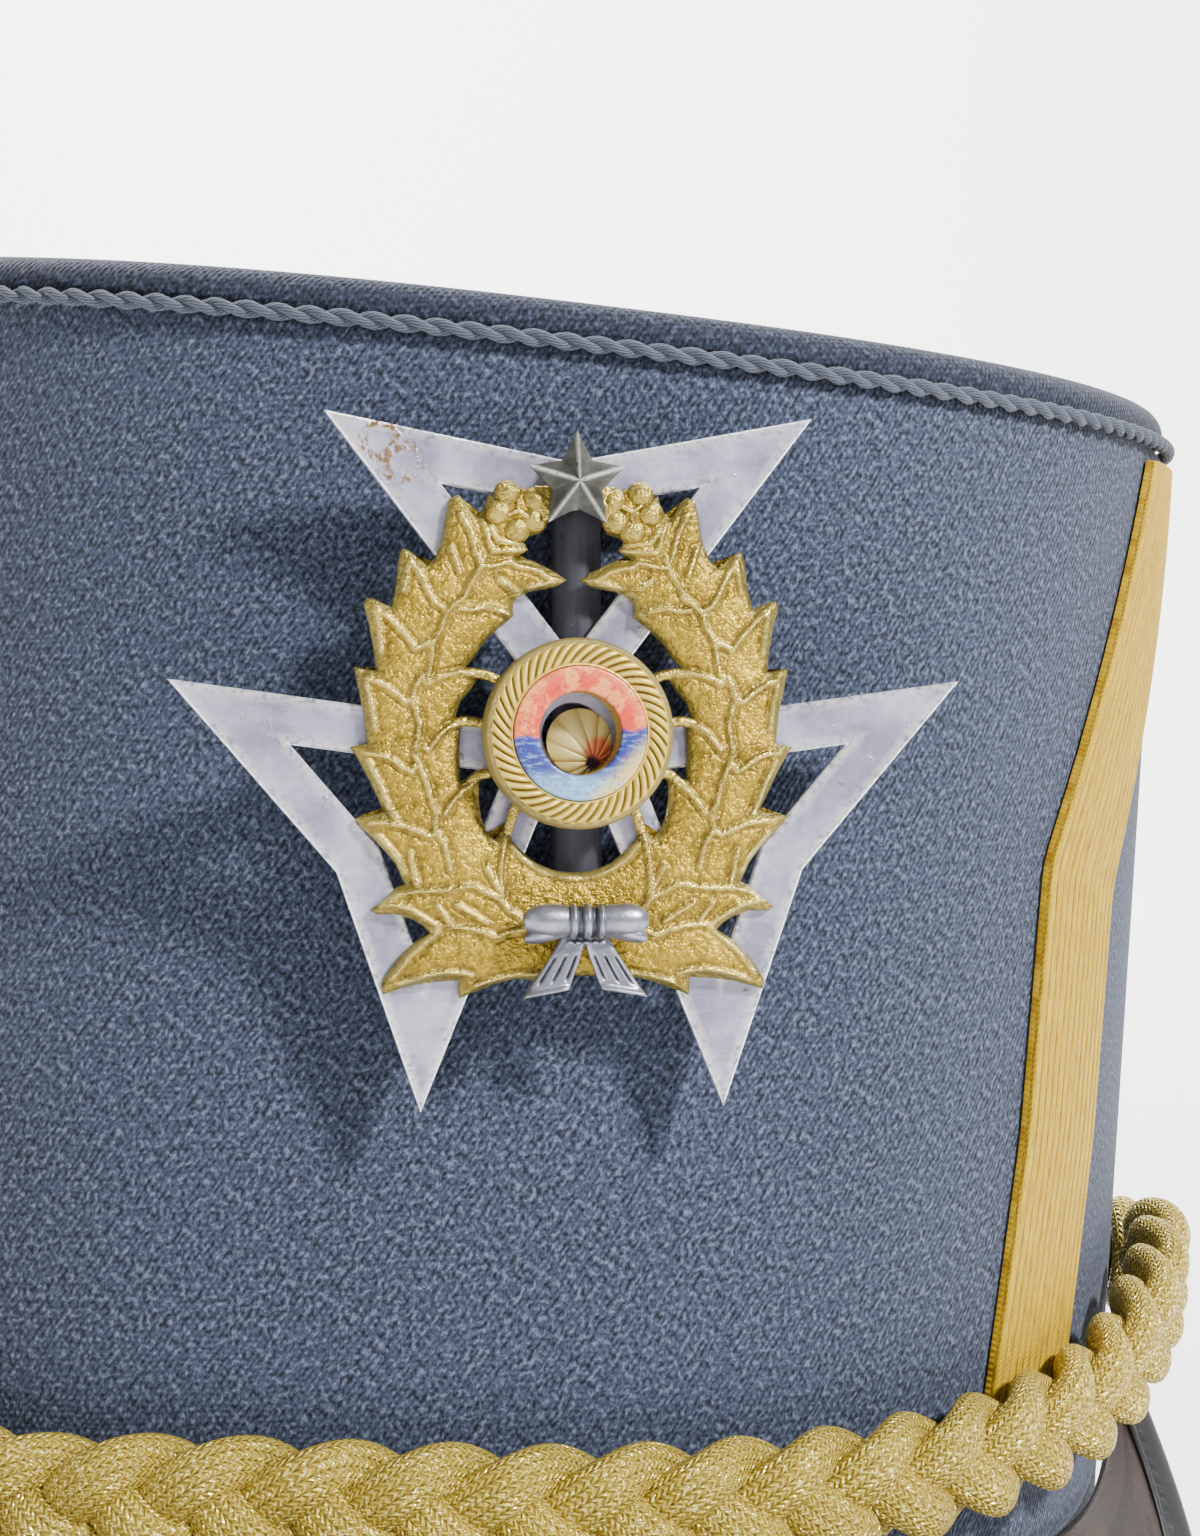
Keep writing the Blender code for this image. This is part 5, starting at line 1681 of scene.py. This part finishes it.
@dataclass(frozen=True)
class PlumeSocket:
    """Upright dark tube between the wall and the plate."""

    mount: Mount
    layer: float = 2.65 * MM
    place: tuple = (1.0 * MM, 21.2 * MM)
    radius: float = 2.35 * MM
    wall: float = 0.6 * MM
    length: float = 36.2 * MM

    def build(self) -> None:
        """Turn the profile about an axis along local Y."""
        bore, low = self.radius - self.wall, -self.length
        straight = np.linspace(-0.25 * MM, low + 0.2 * MM, 40)
        outer = np.stack([np.full_like(straight, self.radius), straight], -1)
        profile = np.concatenate([
            [[0.0, low + self.wall], [bore, low + self.wall], [bore, -0.1 * MM],
             [bore + 0.15 * MM, 0.0], [self.radius - 0.15 * MM, 0.0]], outer,
            [[self.radius - 0.2 * MM, low], [0.0, low]]])
        upright = turned(profile, 56)
        points = np.stack([upright[..., 0], upright[..., 2], upright[..., 1]], -1)
        world = self.mount.world(points, self.layer, self.place)
        around = ring(56)[None, :] * self.radius
        flat = spread(around, profile[:, 1:2])
        make_piece("dark_socket", [Patch(world, flat).outward()], [BluedSteel("socket_steel")],
                   ("plume_socket",), 40.0)


@dataclass(frozen=True)
class Wreath:
    """Wreath casting: two leafy branches, two blossoms, a bridge and the medallion's seat."""

    mount: Mount
    layer: float = 6.6 * MM
    row_step: float = 0.25 * MM
    half_columns: int = 34
    blossom: str = "6.3,22.4 7.2,20.6 5.5,19 3.9,19.9 3.7,21.8"
    struts: str = ("7,4.9 8.4,5.5 9.8,5.7 11,5.6 / 8.2,0.9 9.2,1.1 10.4,1.2 11.5,0.9 / "
                   "8,-3.6 9.2,-3.9 10.2,-4.8 10.9,-5.4 / 5.2,-5.9 5.7,-7.1 6.1,-8.2 6.4,-9.3")

    def rows(self) -> tuple[Array, Array, Array]:
        """Ends and middles of the right half's rows, from its top to its foot.

        Returns:
            Outer, stem and inner points.
        """
        rails = [strokes(rail, joined=True) for rail in WREATH_RAILS]
        lines = ([], [], [])
        for number, interval in enumerate(zip(*rails), 1):
            count = max(3, round(lengths_along(interval[0] * MM)[-1] / self.row_step))
            shares = np.linspace(0.0, 1.0, count + 1)[:None if number == len(rails[0]) else -1]
            for line, rail in zip(lines, interval):
                line.append(at_shares(rail, shares))
        return tuple(np.concatenate(line) for line in lines)

    def relief(self, flat: Array, across: Array) -> dict[str, Array]:
        """Height of the right half, with the crests where its finish paints highlights, the creases
        where it paints shade, and the edges that it reads.

        Height is 0.45 + 0.45 (1 - exp(-e / 0.3)) + 0.55 w (2 - w), plus 0.36 exp(-(d / 0.24)
        squared) less 0.12 exp(-((d - 0.5) / 0.22) squared), in mm, for the distance e to an edge,
        d to a leaf's line, and the share w from edge to stem.

        Args:
            flat: Rows and columns of flat points.
            across: Share from the edge to the stem of each column.

        Returns:
            The numbers by name.
        """
        outlines = strokes(WREATH_RAILS[0], joined=True) + strokes(WREATH_RAILS[2], joined=True)
        edge = distance_to(flat, outlines) / MM
        line = distance_to(flat, strokes(WREATH_RIDGES)) / MM
        crest = np.exp(-(line / 0.24) ** 2)
        crease = np.exp(-((line - 0.5) / 0.22) ** 2)
        inset = 1.0 - np.exp(-edge / 0.3)
        height = (0.45 + 0.45 * inset + 0.55 * across * (2.0 - across)
                  + (0.36 * crest - 0.12 * crease) * (0.4 + 0.6 * inset))
        # crest is where the gilt paints its highlight, and the crease where it paints shade
        return {"height": height * MM, "crest": crest, "crease": crease * inset * 0.5,
                "edge": np.exp(-(edge / 0.55) ** 2)}

    def branches(self) -> Patch:
        """Both branches as one strip, mirrored at the middle plane.

        Returns:
            The patch.
        """
        outer, stem, inner = (line[:, None] for line in self.rows())
        share = np.linspace(0.0, 1.0, self.half_columns)[None, :, None]
        flat = np.concatenate([outer + (stem - outer) * share,
                               stem + (inner - stem) * share[:, 1:]], axis=1)
        across = np.concatenate([share[0, :, 0], 1.0 - share[0, 1:, 0]])[None, :]
        found = self.relief(flat, across)
        back = {name: np.zeros_like(value[:, :1]) for name, value in found.items()}
        found = {name: np.concatenate([back[name], value, back[name], back[name]], axis=1)
                 for name, value in found.items()}
        flat = np.concatenate([flat[:, :1], flat, flat[:, -1:], flat[:, :1]], axis=1)
        mirror = np.array([-1.0, 1.0])
        flat = np.concatenate([flat[:1], flat, flat[-2::-1] * mirror, flat[:1] * mirror])
        values = {name: np.concatenate([value[:1] * 0.0, value, value[-2::-1], value[:1] * 0.0])
                  for name, value in found.items()}
        height = values.pop("height")
        points = np.concatenate([flat, height[..., None]], axis=-1)
        return self.mount.patch(points, self.layer, values=values)

    def blossoms(self) -> list[Patch]:
        """Five petals, a middle and three stamens on each side.

        Returns:
            Their patches.
        """
        patches = []
        for side in Side:
            middle = (side.value * 5.4 * MM, 20.8 * MM)
            for x, y in strokes(self.blossom)[0]:
                centre = (side.value * x * MM, y * MM, 0.95 * MM)
                petal = ball(centre, (1.35 * MM, 1.3 * MM, 1.05 * MM))
                patches.append(self.plain(petal, 0.3, 0.35))
            patches.append(self.plain(ball((*middle, 0.6 * MM), (2.3 * MM, 2.3 * MM, 0.95 * MM)), 0.0))
            for degrees in (35.0, 155.0, 275.0):
                angle = math.radians(degrees) * side.value
                reach = np.array([math.cos(angle), math.sin(angle)]) * 1.1 * MM
                path = np.array(middle) + reach * np.linspace(0.0, 1.0, 6)[:, None]
                patches.append(self.plain(bar(path, 0.28 * MM, 1.95 * MM, 0.9 * MM), 0.9))
        return patches

    def plain(self, points: Array, crest: float, edge: float = 0.0) -> Patch:
        """Patch whose painted highlight follows its height, from none at its foot, with painted shade
        towards its foot.

        Args:
            points: Rows, columns and 3 local coordinates.
            crest: Painted highlight at its top.
            edge: Share of the edge's green-grey all over.

        Returns:
            The patch.
        """
        height = points[..., 2]
        rise = np.clip((height - height.min()) / max(float(np.ptp(height)), 1e-9), 0.0, 1.0)
        # Painted highlight towards the top, painted shade towards the foot
        values = {"crest": crest * rise ** 3, "edge": edge * np.ones_like(rise),
                  "crease": 0.7 * (1.0 - rise) ** 2 * (1.0 - edge)}
        return self.mount.patch(points, self.layer, values=values)

    def bridge(self) -> Patch:
        """Flat slab behind the star, with an arch below it.

        Its lower edge is at 19.7 + 2.8 exp(-(x / 2.1) to the power 4) mm, and its upper at 23.1.

        Returns:
            The patch.
        """
        x = np.linspace(-3.8, 3.8, 60)[:, None]
        low = 19.7 + 2.8 * np.exp(-(x / 2.1) ** 4)
        share = np.array([0.0, 0.0, 0.04, 0.5, 0.96, 1.0, 1.0, 0.0])[None, :]
        height = np.array([0.1, 1.6, 1.75, 1.75, 1.75, 1.6, 0.1, 0.1])[None, :]
        grid = spread(x, low + (23.1 - low) * share, height) * MM
        return self.plain(close_ends(grid), 0.4)

    def seat(self) -> list[Patch]:
        """Ring under the medallion, with its struts.

        Returns:
            Their patches.
        """
        profile = np.array([[4.35, 0.05], [4.35, 0.8], [4.45, 0.9], [8.3, 0.9], [8.4, 0.8],
                            [8.4, 0.05], [4.35, 0.05]]) * MM
        patches = [self.plain(turned(profile, 120), 0.0, 0.6)]
        for strut in strokes(self.struts):
            path = at_shares(strut, np.linspace(0.0, 1.0, 20))
            for side in Side:
                mirrored = path * np.array([side.value, 1.0])
                patches.append(self.plain(bar(mirrored, 0.5 * MM, 1.2 * MM, 0.15 * MM), 0.6))
        return patches

    def build(self) -> None:
        """Join the casting's surfaces in one piece."""
        patches = [self.branches(), *self.blossoms(), self.bridge(), *self.seat()]
        make_piece("cast_wreath", patches, [CastGold("wreath_gilt")], ("badge_wreath",),
                   70.0)


@dataclass(frozen=True)
class Medallion:
    """Ring with a slanting rope border, and the worn enamel in its recess."""

    mount: Mount
    layer: float = 7.8 * MM
    flutes: int = 46
    columns: int = 828

    def build(self) -> None:
        """Turn the profile, and cut the flutes into its rope band."""
        band = np.linspace(8.35, 6.5, 24)
        hump = np.sqrt(np.clip(1.0 - ((band - 7.42) / 0.95) ** 2, 0.0, 1.0))
        foot = np.array([[3.85, 0.0], [8.5, 0.0], [8.8, 0.15], [8.9, 0.45], [8.9, 2.1], [8.85, 2.5],
                         [8.72, 2.76], [8.55, 2.88], [8.4, 2.86]])
        tail = np.array([[6.47, 3.0], [6.36, 3.02], [6.3, 2.95], [6.25, 2.4], [3.85, 2.4],
                         [3.85, 0.0]])
        profile = np.concatenate([foot, np.stack([band, 2.85 + 0.5 * hump], -1), tail]) * MM
        points = turned(profile, self.columns)
        angle = ring(self.columns)[None, :]
        radius = profile[:, :1] / MM
        on_band = np.zeros(len(profile))
        on_band[len(foot):len(foot) + len(band)] = hump
        phase = self.flutes * angle + 2 * math.pi * (radius - 7.42)
        groove = (0.5 - 0.5 * np.sin(phase)) ** 3 * np.minimum(on_band * 1.4, 1.0)[:, None]
        points[..., 2] -= 0.42 * MM * groove
        side = np.zeros(len(profile))
        side[:len(foot)] = 1.0
        # dark: painted shade on the inner wall down into the enamel's recess
        dark = np.zeros(len(profile))
        dark[-4:-1] = 0.9
        # The rope's grooves and that wall carry painted shade.
        values = {"crease": np.maximum(groove, dark[:, None]),
                  "edge": np.broadcast_to(side[:, None], groove.shape)}
        make_piece("rope_medallion", [self.mount.patch(points, self.layer, values=values)],
                   [RopeBrass("medallion_gilt")], ("badge_medallion",), 50.0)
        self.build_enamel()

    def build_enamel(self) -> None:
        """Turn the enamel ring, whose face is slightly domed."""
        face = np.linspace(6.15, 4.0, 14)
        rise = 0.5 + 0.14 * np.sqrt(np.clip(1.0 - ((face - 5.1) / 1.15) ** 2, 0.0, 1.0))
        profile = np.concatenate([[[3.9, 0.0], [6.25, 0.0], [6.25, 0.45]],
                                  np.stack([face, rise], -1),
                                  [[3.9, 0.45], [3.9, 0.0]]]) * MM
        make_piece("worn_enamel", [self.mount.patch(turned(profile, 160), self.layer + 2.7 * MM)],
                   [TwoColourEnamel("two_colour_enamel")], ("enamel_ring",), 50.0)


@dataclass(frozen=True)
class CentreShell:
    """Fluted shell seen through the medallion, whose ribs meet towards its lower right."""

    mount: Mount
    layer: float = 6.6 * MM
    place: tuple = (0.5, -0.7)
    radius: float = 3.1
    apex: tuple = (1.9, -2.6)
    ribs: int = 15

    def build(self) -> None:
        """Draw rays from the apex to the rim, and raise ribs between them.

        A ray from the apex p at the angle a reaches the rim at -p.d + sqrt((p.d) squared - p.p
        + R squared) for its direction d, with p counted from the shell's middle.
        """
        angle = ring(self.ribs * 14)
        direction = spread(np.cos(angle), np.sin(angle))
        offset = np.array(self.apex) - np.array(self.place)
        along = direction @ offset
        reach = -along + np.sqrt(along ** 2 - offset @ offset + self.radius ** 2)
        share = np.linspace(0.0, 1.0, 22)[:, None]
        flat = offset + direction[None] * (share * reach)[..., None]
        rim = np.linalg.norm(flat, axis=-1) / self.radius
        crest = np.abs(np.cos(angle * self.ribs / 2))[None, :] ** 0.6 * np.ones_like(share)
        height = 0.35 + 0.65 * (1.0 - rim ** 2) + 0.16 * crest * np.clip(share * 2.5, 0.0, 1.0)
        top = np.concatenate([flat, height[..., None]], -1)
        foot = np.concatenate([flat[-1:], np.zeros((1, len(angle), 1))], -1)
        points = np.concatenate([top, foot, foot * 0.0 + np.array([*offset, 0.0])]) * MM
        # crests: where the shell's finish paints its ribs paler as a highlight
        crests = np.concatenate([crest, crest[:1] * 0.0, crest[:1] * 0.0])
        place = (self.place[0] * MM, self.place[1] * MM)
        make_piece("fluted_shell", [self.mount.patch(points, self.layer, place,
                                                     {"crest": crests})],
                   [ShellGilt("shell_gilt")], ("centre_shell",), 60.0)


@dataclass(frozen=True)
class Star:
    """Five-pointed star whose ten facets rise to its middle along ridges that carry a painted
    highlight.
    """

    mount: Mount
    layer: float = 9.0 * MM
    place: tuple = (0.0, 23.4 * MM)
    tip: float = 4.7 * MM
    waist: float = 0.52
    edge_height: float = 0.5 * MM
    height: float = 1.9 * MM

    def build(self) -> None:
        """Draw rows of the outline to the middle.

        Between a tip and a waist the outline's radius is r1 r2 sin A over r2 sin(A - t) + r1 sin t,
        for the radii r1 and r2 that lie A = 36 degrees apart.
        """
        step = math.radians(36.0)
        angle = ring(10 * 14)
        local = np.mod(angle, 2 * step)
        away = np.minimum(local, 2 * step - local)
        low = self.waist * self.tip
        radius = (self.tip * low * math.sin(step)
                  / (low * np.sin(step - away) + self.tip * np.sin(away)))
        direction = spread(np.cos(angle + math.pi / 2), np.sin(angle + math.pi / 2))
        share = np.linspace(0.0, 1.0, 16)[:, None]
        flat = direction[None] * (share * radius)[..., None]
        sideways = share * radius * np.sin(away) / MM
        crest = np.exp(-(sideways / 0.16) ** 2) * (away < step * 0.7)
        height = (self.edge_height + (self.height - self.edge_height) * (1.0 - share)
                  + 0.07 * MM * crest)
        top = np.concatenate([flat, np.broadcast_to(height, flat.shape[:2])[..., None]], -1)
        foot = np.concatenate([flat[-1:], np.zeros((1, len(angle), 1))], -1)
        points = np.concatenate([top, foot, foot * 0.0])
        # crests: where the pewter paints its ridge highlight
        crests = np.concatenate([crest, crest[:1] * 0.0, crest[:1] * 0.0])
        make_piece("faceted_star", [self.mount.patch(points, self.layer, self.place,
                                                     {"crest": crests})],
                   [Pewter("star_pewter")], ("badge_star",), 12.0)


@dataclass(frozen=True)
class Bow:
    """Ribbon bow: two rolled loops with a lower fold, a ribbed knot, beads and fluted tails."""

    mount: Mount
    layer: float = 9.0 * MM
    place: tuple = (0.5 * MM, -17.4 * MM)

    def roll(self, side: Side, length: float, low: float, half: float, depth: float) -> Patch:
        """Blunt roll from the knot outwards: ellipses that swell and then close.

        Args:
            side: Side that it points to.
            length: Reach from the middle.
            low: Local Y of its axis at the outer end.
            half: Half of its height across.
            depth: Half of its depth.

        Returns:
            The patch.
        """
        place = np.linspace(0.0, 1.0, 36)[:, None]
        swell = (0.74 + 0.26 * np.sin(place * math.pi * 0.8)) * np.sqrt(1.0 - place ** 7)
        swell[-1] = 0.0
        angle = ring(36)
        rows = spread(side.value * place * length, low * place + swell * (half * np.cos(angle)),
                      depth + swell * (depth * np.sin(angle)))
        points = close_ends(rows)[:-1]
        # Painted shade where the roll meets the knot
        crease = np.exp(-(np.concatenate([place[:1], place]) / 0.3) ** 2)
        values = {"crease": np.broadcast_to(crease * 0.8, points.shape[:2])}
        return self.mount.patch(points, self.layer, self.place, values)

    def tail(self, side: Side) -> Patch:
        """Tail that widens downward, with three flutes and a lip at its foot.

        Args:
            side: Side that it leans to.

        Returns:
            The patch.
        """
        place = np.linspace(0.0, 1.0, 40)[:, None]
        share = np.linspace(-1.0, 1.0, 49)[None, :]
        lean = side.value * (1.1 + 2.6 * place ** 1.15)
        half = 1.15 + 0.95 * place
        x = (lean + half * share) * MM
        y = (-1.5 - 5.2 * place - 0.35 * side.value * share * place) * MM
        flute = np.exp(-((np.mod((share + 1.0) * 1.5, 1.0) - 0.5) / 0.13) ** 2)
        flute = flute * np.clip(np.minimum(place - 0.3, 0.82 - place) / 0.06, 0.0, 1.0)
        lip = 0.35 * np.exp(-((place - 0.97) / 0.06) ** 2)
        round_off = 0.25 * np.abs(share) ** 6
        height = (1.15 + 0.15 * place - 0.26 * flute + lip - round_off) * MM
        top = spread(x, y, height)
        back = top * np.array([1.0, 1.0, 0.0]) + np.array([0.0, 0.0, 0.35 * MM])
        grid = np.concatenate([top, back[:, ::-1], top[:, :1]], axis=1)
        # Painted shade in the flutes on the tail's face
        creases = np.concatenate([flute, flute[:, ::-1] * 0.0, flute[:, :1]], axis=1)
        creases = np.concatenate([creases[:1], creases, creases[-1:]])
        return self.mount.patch(close_ends(grid), self.layer, self.place, {"crease": creases})

    def build(self) -> None:
        """Join the rolls, folds, knot ribs, beads and tails."""
        patches = []
        for side in Side:
            patches.append(self.roll(side, 6.0 * MM, 0.15 * MM, 1.6 * MM, 1.5 * MM))
            patches.append(self.roll(side, 5.9 * MM, -1.55 * MM, 0.95 * MM, 1.2 * MM))
            patches.append(self.tail(side))
        for x, width in ((-1.3, 0.52), (0.0, 0.62), (1.25, 0.5)):
            rib = ball((x * MM, 0.05 * MM, 1.9 * MM), (width * MM, 1.7 * MM, 1.7 * MM), 16, 18)
            patches.append(self.plain(rib))
        # Core of the knot behind the ribs, painted dark as shade
        patches.append(self.plain(ball((0.0, 0.0, 1.4 * MM), (2.1 * MM, 1.5 * MM, 1.5 * MM)), 0.9))
        for x in (-1.45, -0.75, 0.05, 0.85, 1.55):
            bead = ball((x * MM, -1.95 * MM, 1.5 * MM), (0.36 * MM, 0.3 * MM, 0.45 * MM), 8, 12)
            patches.append(self.plain(bead))
        make_piece("ribbon_bow", patches, [BowSilver("bow_metal")], ("badge_bow",),
                   70.0)

    def plain(self, points: Array, crease: float = 0.0) -> Patch:
        """Patch with one amount of painted shade in its creases."""
        values = {"crease": np.full(points.shape[:2], crease)}
        return self.mount.patch(points, self.layer, self.place, values)


@dataclass(frozen=True)
class StrapEnd:
    """Knitted eye at one end of the strap, and the domed button that holds it."""

    drum: Drum
    strap: PlaitedStrap
    side: Side
    angle: float = 78.5
    layer: float = 4.2 * MM
    eye_radius: float = 5.0 * MM
    cord_radius: float = 2.1 * MM

    def build(self) -> None:
        """Carry a circle round the eye, and turn the button's profile."""
        azimuth = self.angle * self.side.value
        mount = Mount.on_drum(self.drum, azimuth, float(self.strap.height(azimuth)))
        label = self.side.name.lower()
        angle = ring(96)
        path = np.stack([np.cos(angle), np.sin(angle), angle * 0.0], -1) * self.eye_radius
        path[-1] = path[0]
        toward = np.broadcast_to(np.array([0.0, 0.0, 1.0]), path.shape)
        across, out = path_axes(path, toward, closed=True)
        turn = ring(22)
        section = self.cord_radius * spread(np.cos(turn), np.sin(turn))
        grid = carry(path, across, out, section)
        flat = tube_flat(grid)
        eye = Patch(mount.world(grid, self.layer), flat).outward()
        make_piece(f"knitted_eye_{label}", [eye], [Lame(f"eye_lame_{label}")],
                   (f"strap_eye_{label}",))
        base = (self.layer + self.cord_radius + GAP) / MM
        dome = np.linspace(0.0, math.pi / 2, 14)
        face = np.stack([4.5 * np.sin(dome), base + 0.85 + 1.35 * np.cos(dome)], -1)
        rim = np.array([[4.62, base + 0.7], [4.85, base + 0.75], [5.0, base + 0.55],
                        [5.0, base + 0.2], [4.8, base], [2.2, base], [2.2, 0.3], [0.0, 0.3]])
        profile = np.concatenate([face, rim]) * MM
        edge = np.concatenate([np.linspace(0.0, 0.6, len(face)) ** 2, np.ones(len(rim))])
        points = turned(profile, 72)
        values = {"edge": np.broadcast_to(edge[:, None], points.shape[:2])}
        make_piece(f"domed_button_{label}", [mount.patch(points, values=values)],
                   [ButtonBrass(f"button_gilt_{label}")], (f"side_button_{label}",),
                   40.0)


@dataclass(frozen=True)
class Studio:
    """Pale floor, soft lights and the camera at the photograph's place."""

    place: tuple = (-0.04614, -0.35967, 0.11829)
    yaw: float = 10.018
    pitch: float = -2.514
    roll: float = 5.727
    lens: float = 90.0
    sensor: float = 36.0

    def build(self) -> None:
        """Make the floor, the lights and the camera."""
        self.build_floor()
        self.build_lights()
        self.build_camera()

    def build_floor(self) -> None:
        """Floor that curves up behind the cap: a level stretch, a quarter circle and a wall."""
        radius = 0.9
        angle = np.linspace(0.0, math.pi / 2, 24)
        depth = np.concatenate([[-3.0], 1.2 + radius * np.sin(angle), [1.2 + radius]])
        height = np.concatenate([[0.0], radius * (1.0 - np.cos(angle)), [3.5]])
        width = np.array([-4.0, 4.0])
        points = spread(width[None, :], depth[:, None], height[:, None])
        mesh = bpy.data.meshes.new("studio_floor")
        a, b, c, d = corners(np.arange(2 * len(points)).reshape(-1, 2))
        quads = np.stack([a, d, c, b], -1).reshape(-1, 4)
        mesh.from_pydata(points.reshape(-1, 3), [], quads.tolist())
        mesh.shade_smooth()
        shader = Shader("studio_paper")
        grain = shader.noise(900.0, 2.0, 0.5)
        shader.set(Base_Color=shader.blend(grain, tone(232, 231, 230), tone(238, 237, 236)),
                   Roughness=0.9)
        mesh.materials.append(shader.material)
        floor = add_object("studio_floor", mesh)

    def build_lights(self) -> None:
        """Large soft key from the upper right, a fill from the left and a pale sky."""
        self.area("key", (0.62, -0.80, 0.95), 0.15, 40.0)
        self.area("fill", (-0.9, -1.1, 0.5), 1.2, 5.5)
        self.area("wall", (0.0, 1.0, 1.9), 1.4, 230.0, (0.0, 2.1, 0.4))
        world = bpy.data.worlds.new("studio_sky")
        world.use_nodes = True
        sky = world.node_tree.nodes["Background"]
        sky.inputs["Color"].default_value = (1.0, 1.0, 1.0, 1.0)
        sky.inputs["Strength"].default_value = 0.28
        bpy.context.scene.world = world

    @staticmethod
    def area(name: str, place: tuple, size: float, power: float,
             target: tuple = (0.0, -0.03, 0.09)) -> None:
        """Area light.

        Args:
            name: Name of the light.
            place: Where it stands, in metres.
            size: Side of its square.
            power: Watts.
            target: Point that it faces, which is the badge by default.
        """
        lamp = bpy.data.lights.new(name, "AREA")
        lamp.size = size
        lamp.energy = power
        made = add_object(name, lamp)
        away = unit(np.array(place) - np.array(target))
        right = unit(np.cross((0.0, 0.0, 1.0), away))
        axes = Matrix(np.stack([right, np.cross(away, right), away], axis=1).tolist()).to_4x4()
        made.matrix_world = Matrix.Translation(place) @ axes

    def build_camera(self) -> None:
        """Camera from yaw, pitch and roll: forward, right and up are turned in that order."""
        yaw, pitch, roll = (math.radians(value) for value in (self.yaw, self.pitch, self.roll))
        forward = np.array([math.sin(yaw) * math.cos(pitch), math.cos(yaw) * math.cos(pitch),
                            math.sin(pitch)])
        right = unit(np.cross(forward, (0.0, 0.0, 1.0)))
        up = np.cross(right, forward)
        rolled_right = math.cos(roll) * right + math.sin(roll) * up
        rolled_up = math.cos(roll) * up - math.sin(roll) * right
        lens = bpy.data.cameras.new("camera")
        lens.sensor_fit = "HORIZONTAL"
        lens.sensor_width = self.sensor
        lens.lens = self.lens
        lens.clip_start = 0.01
        camera = add_object("camera", lens)
        axes = Matrix(np.stack([rolled_right, rolled_up, -forward], axis=1).tolist()).to_4x4()
        camera.matrix_world = Matrix.Translation(self.place) @ axes
        bpy.context.scene.camera = camera


def main() -> None:
    """Build each sub-assembly of the cap in order, then the studio."""
    logging.basicConfig(level=logging.INFO, format="%(message)s")
    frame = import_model()
    low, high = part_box("crown_top")
    drum = Drum(middle_y=(low.y + high.y) / 2)
    LOG.info("frame: %d solids", len(frame["nodes"]))
    ClothBody(drum).build()
    ClothCrown(drum).build()
    RimCord(drum).build()
    for side in Side:
        SideBraid(drum, side).build()
    strap = PlaitedStrap(drum)
    strap.build()
    for side in Side:
        StrapEnd(drum, strap, side).build()
    Visor(drum).build()
    badge = Mount.on_drum(drum, 0.0, BADGE_HEIGHT_SHARE * drum.cord_height, BADGE_TURN)
    SilverPlate(badge).build()
    PlumeSocket(badge).build()
    Wreath(badge).build()
    Medallion(badge).build()
    CentreShell(badge).build()
    Star(badge).build()
    Bow(badge).build()
    Studio().build()


if __name__ == "__main__":
    main()
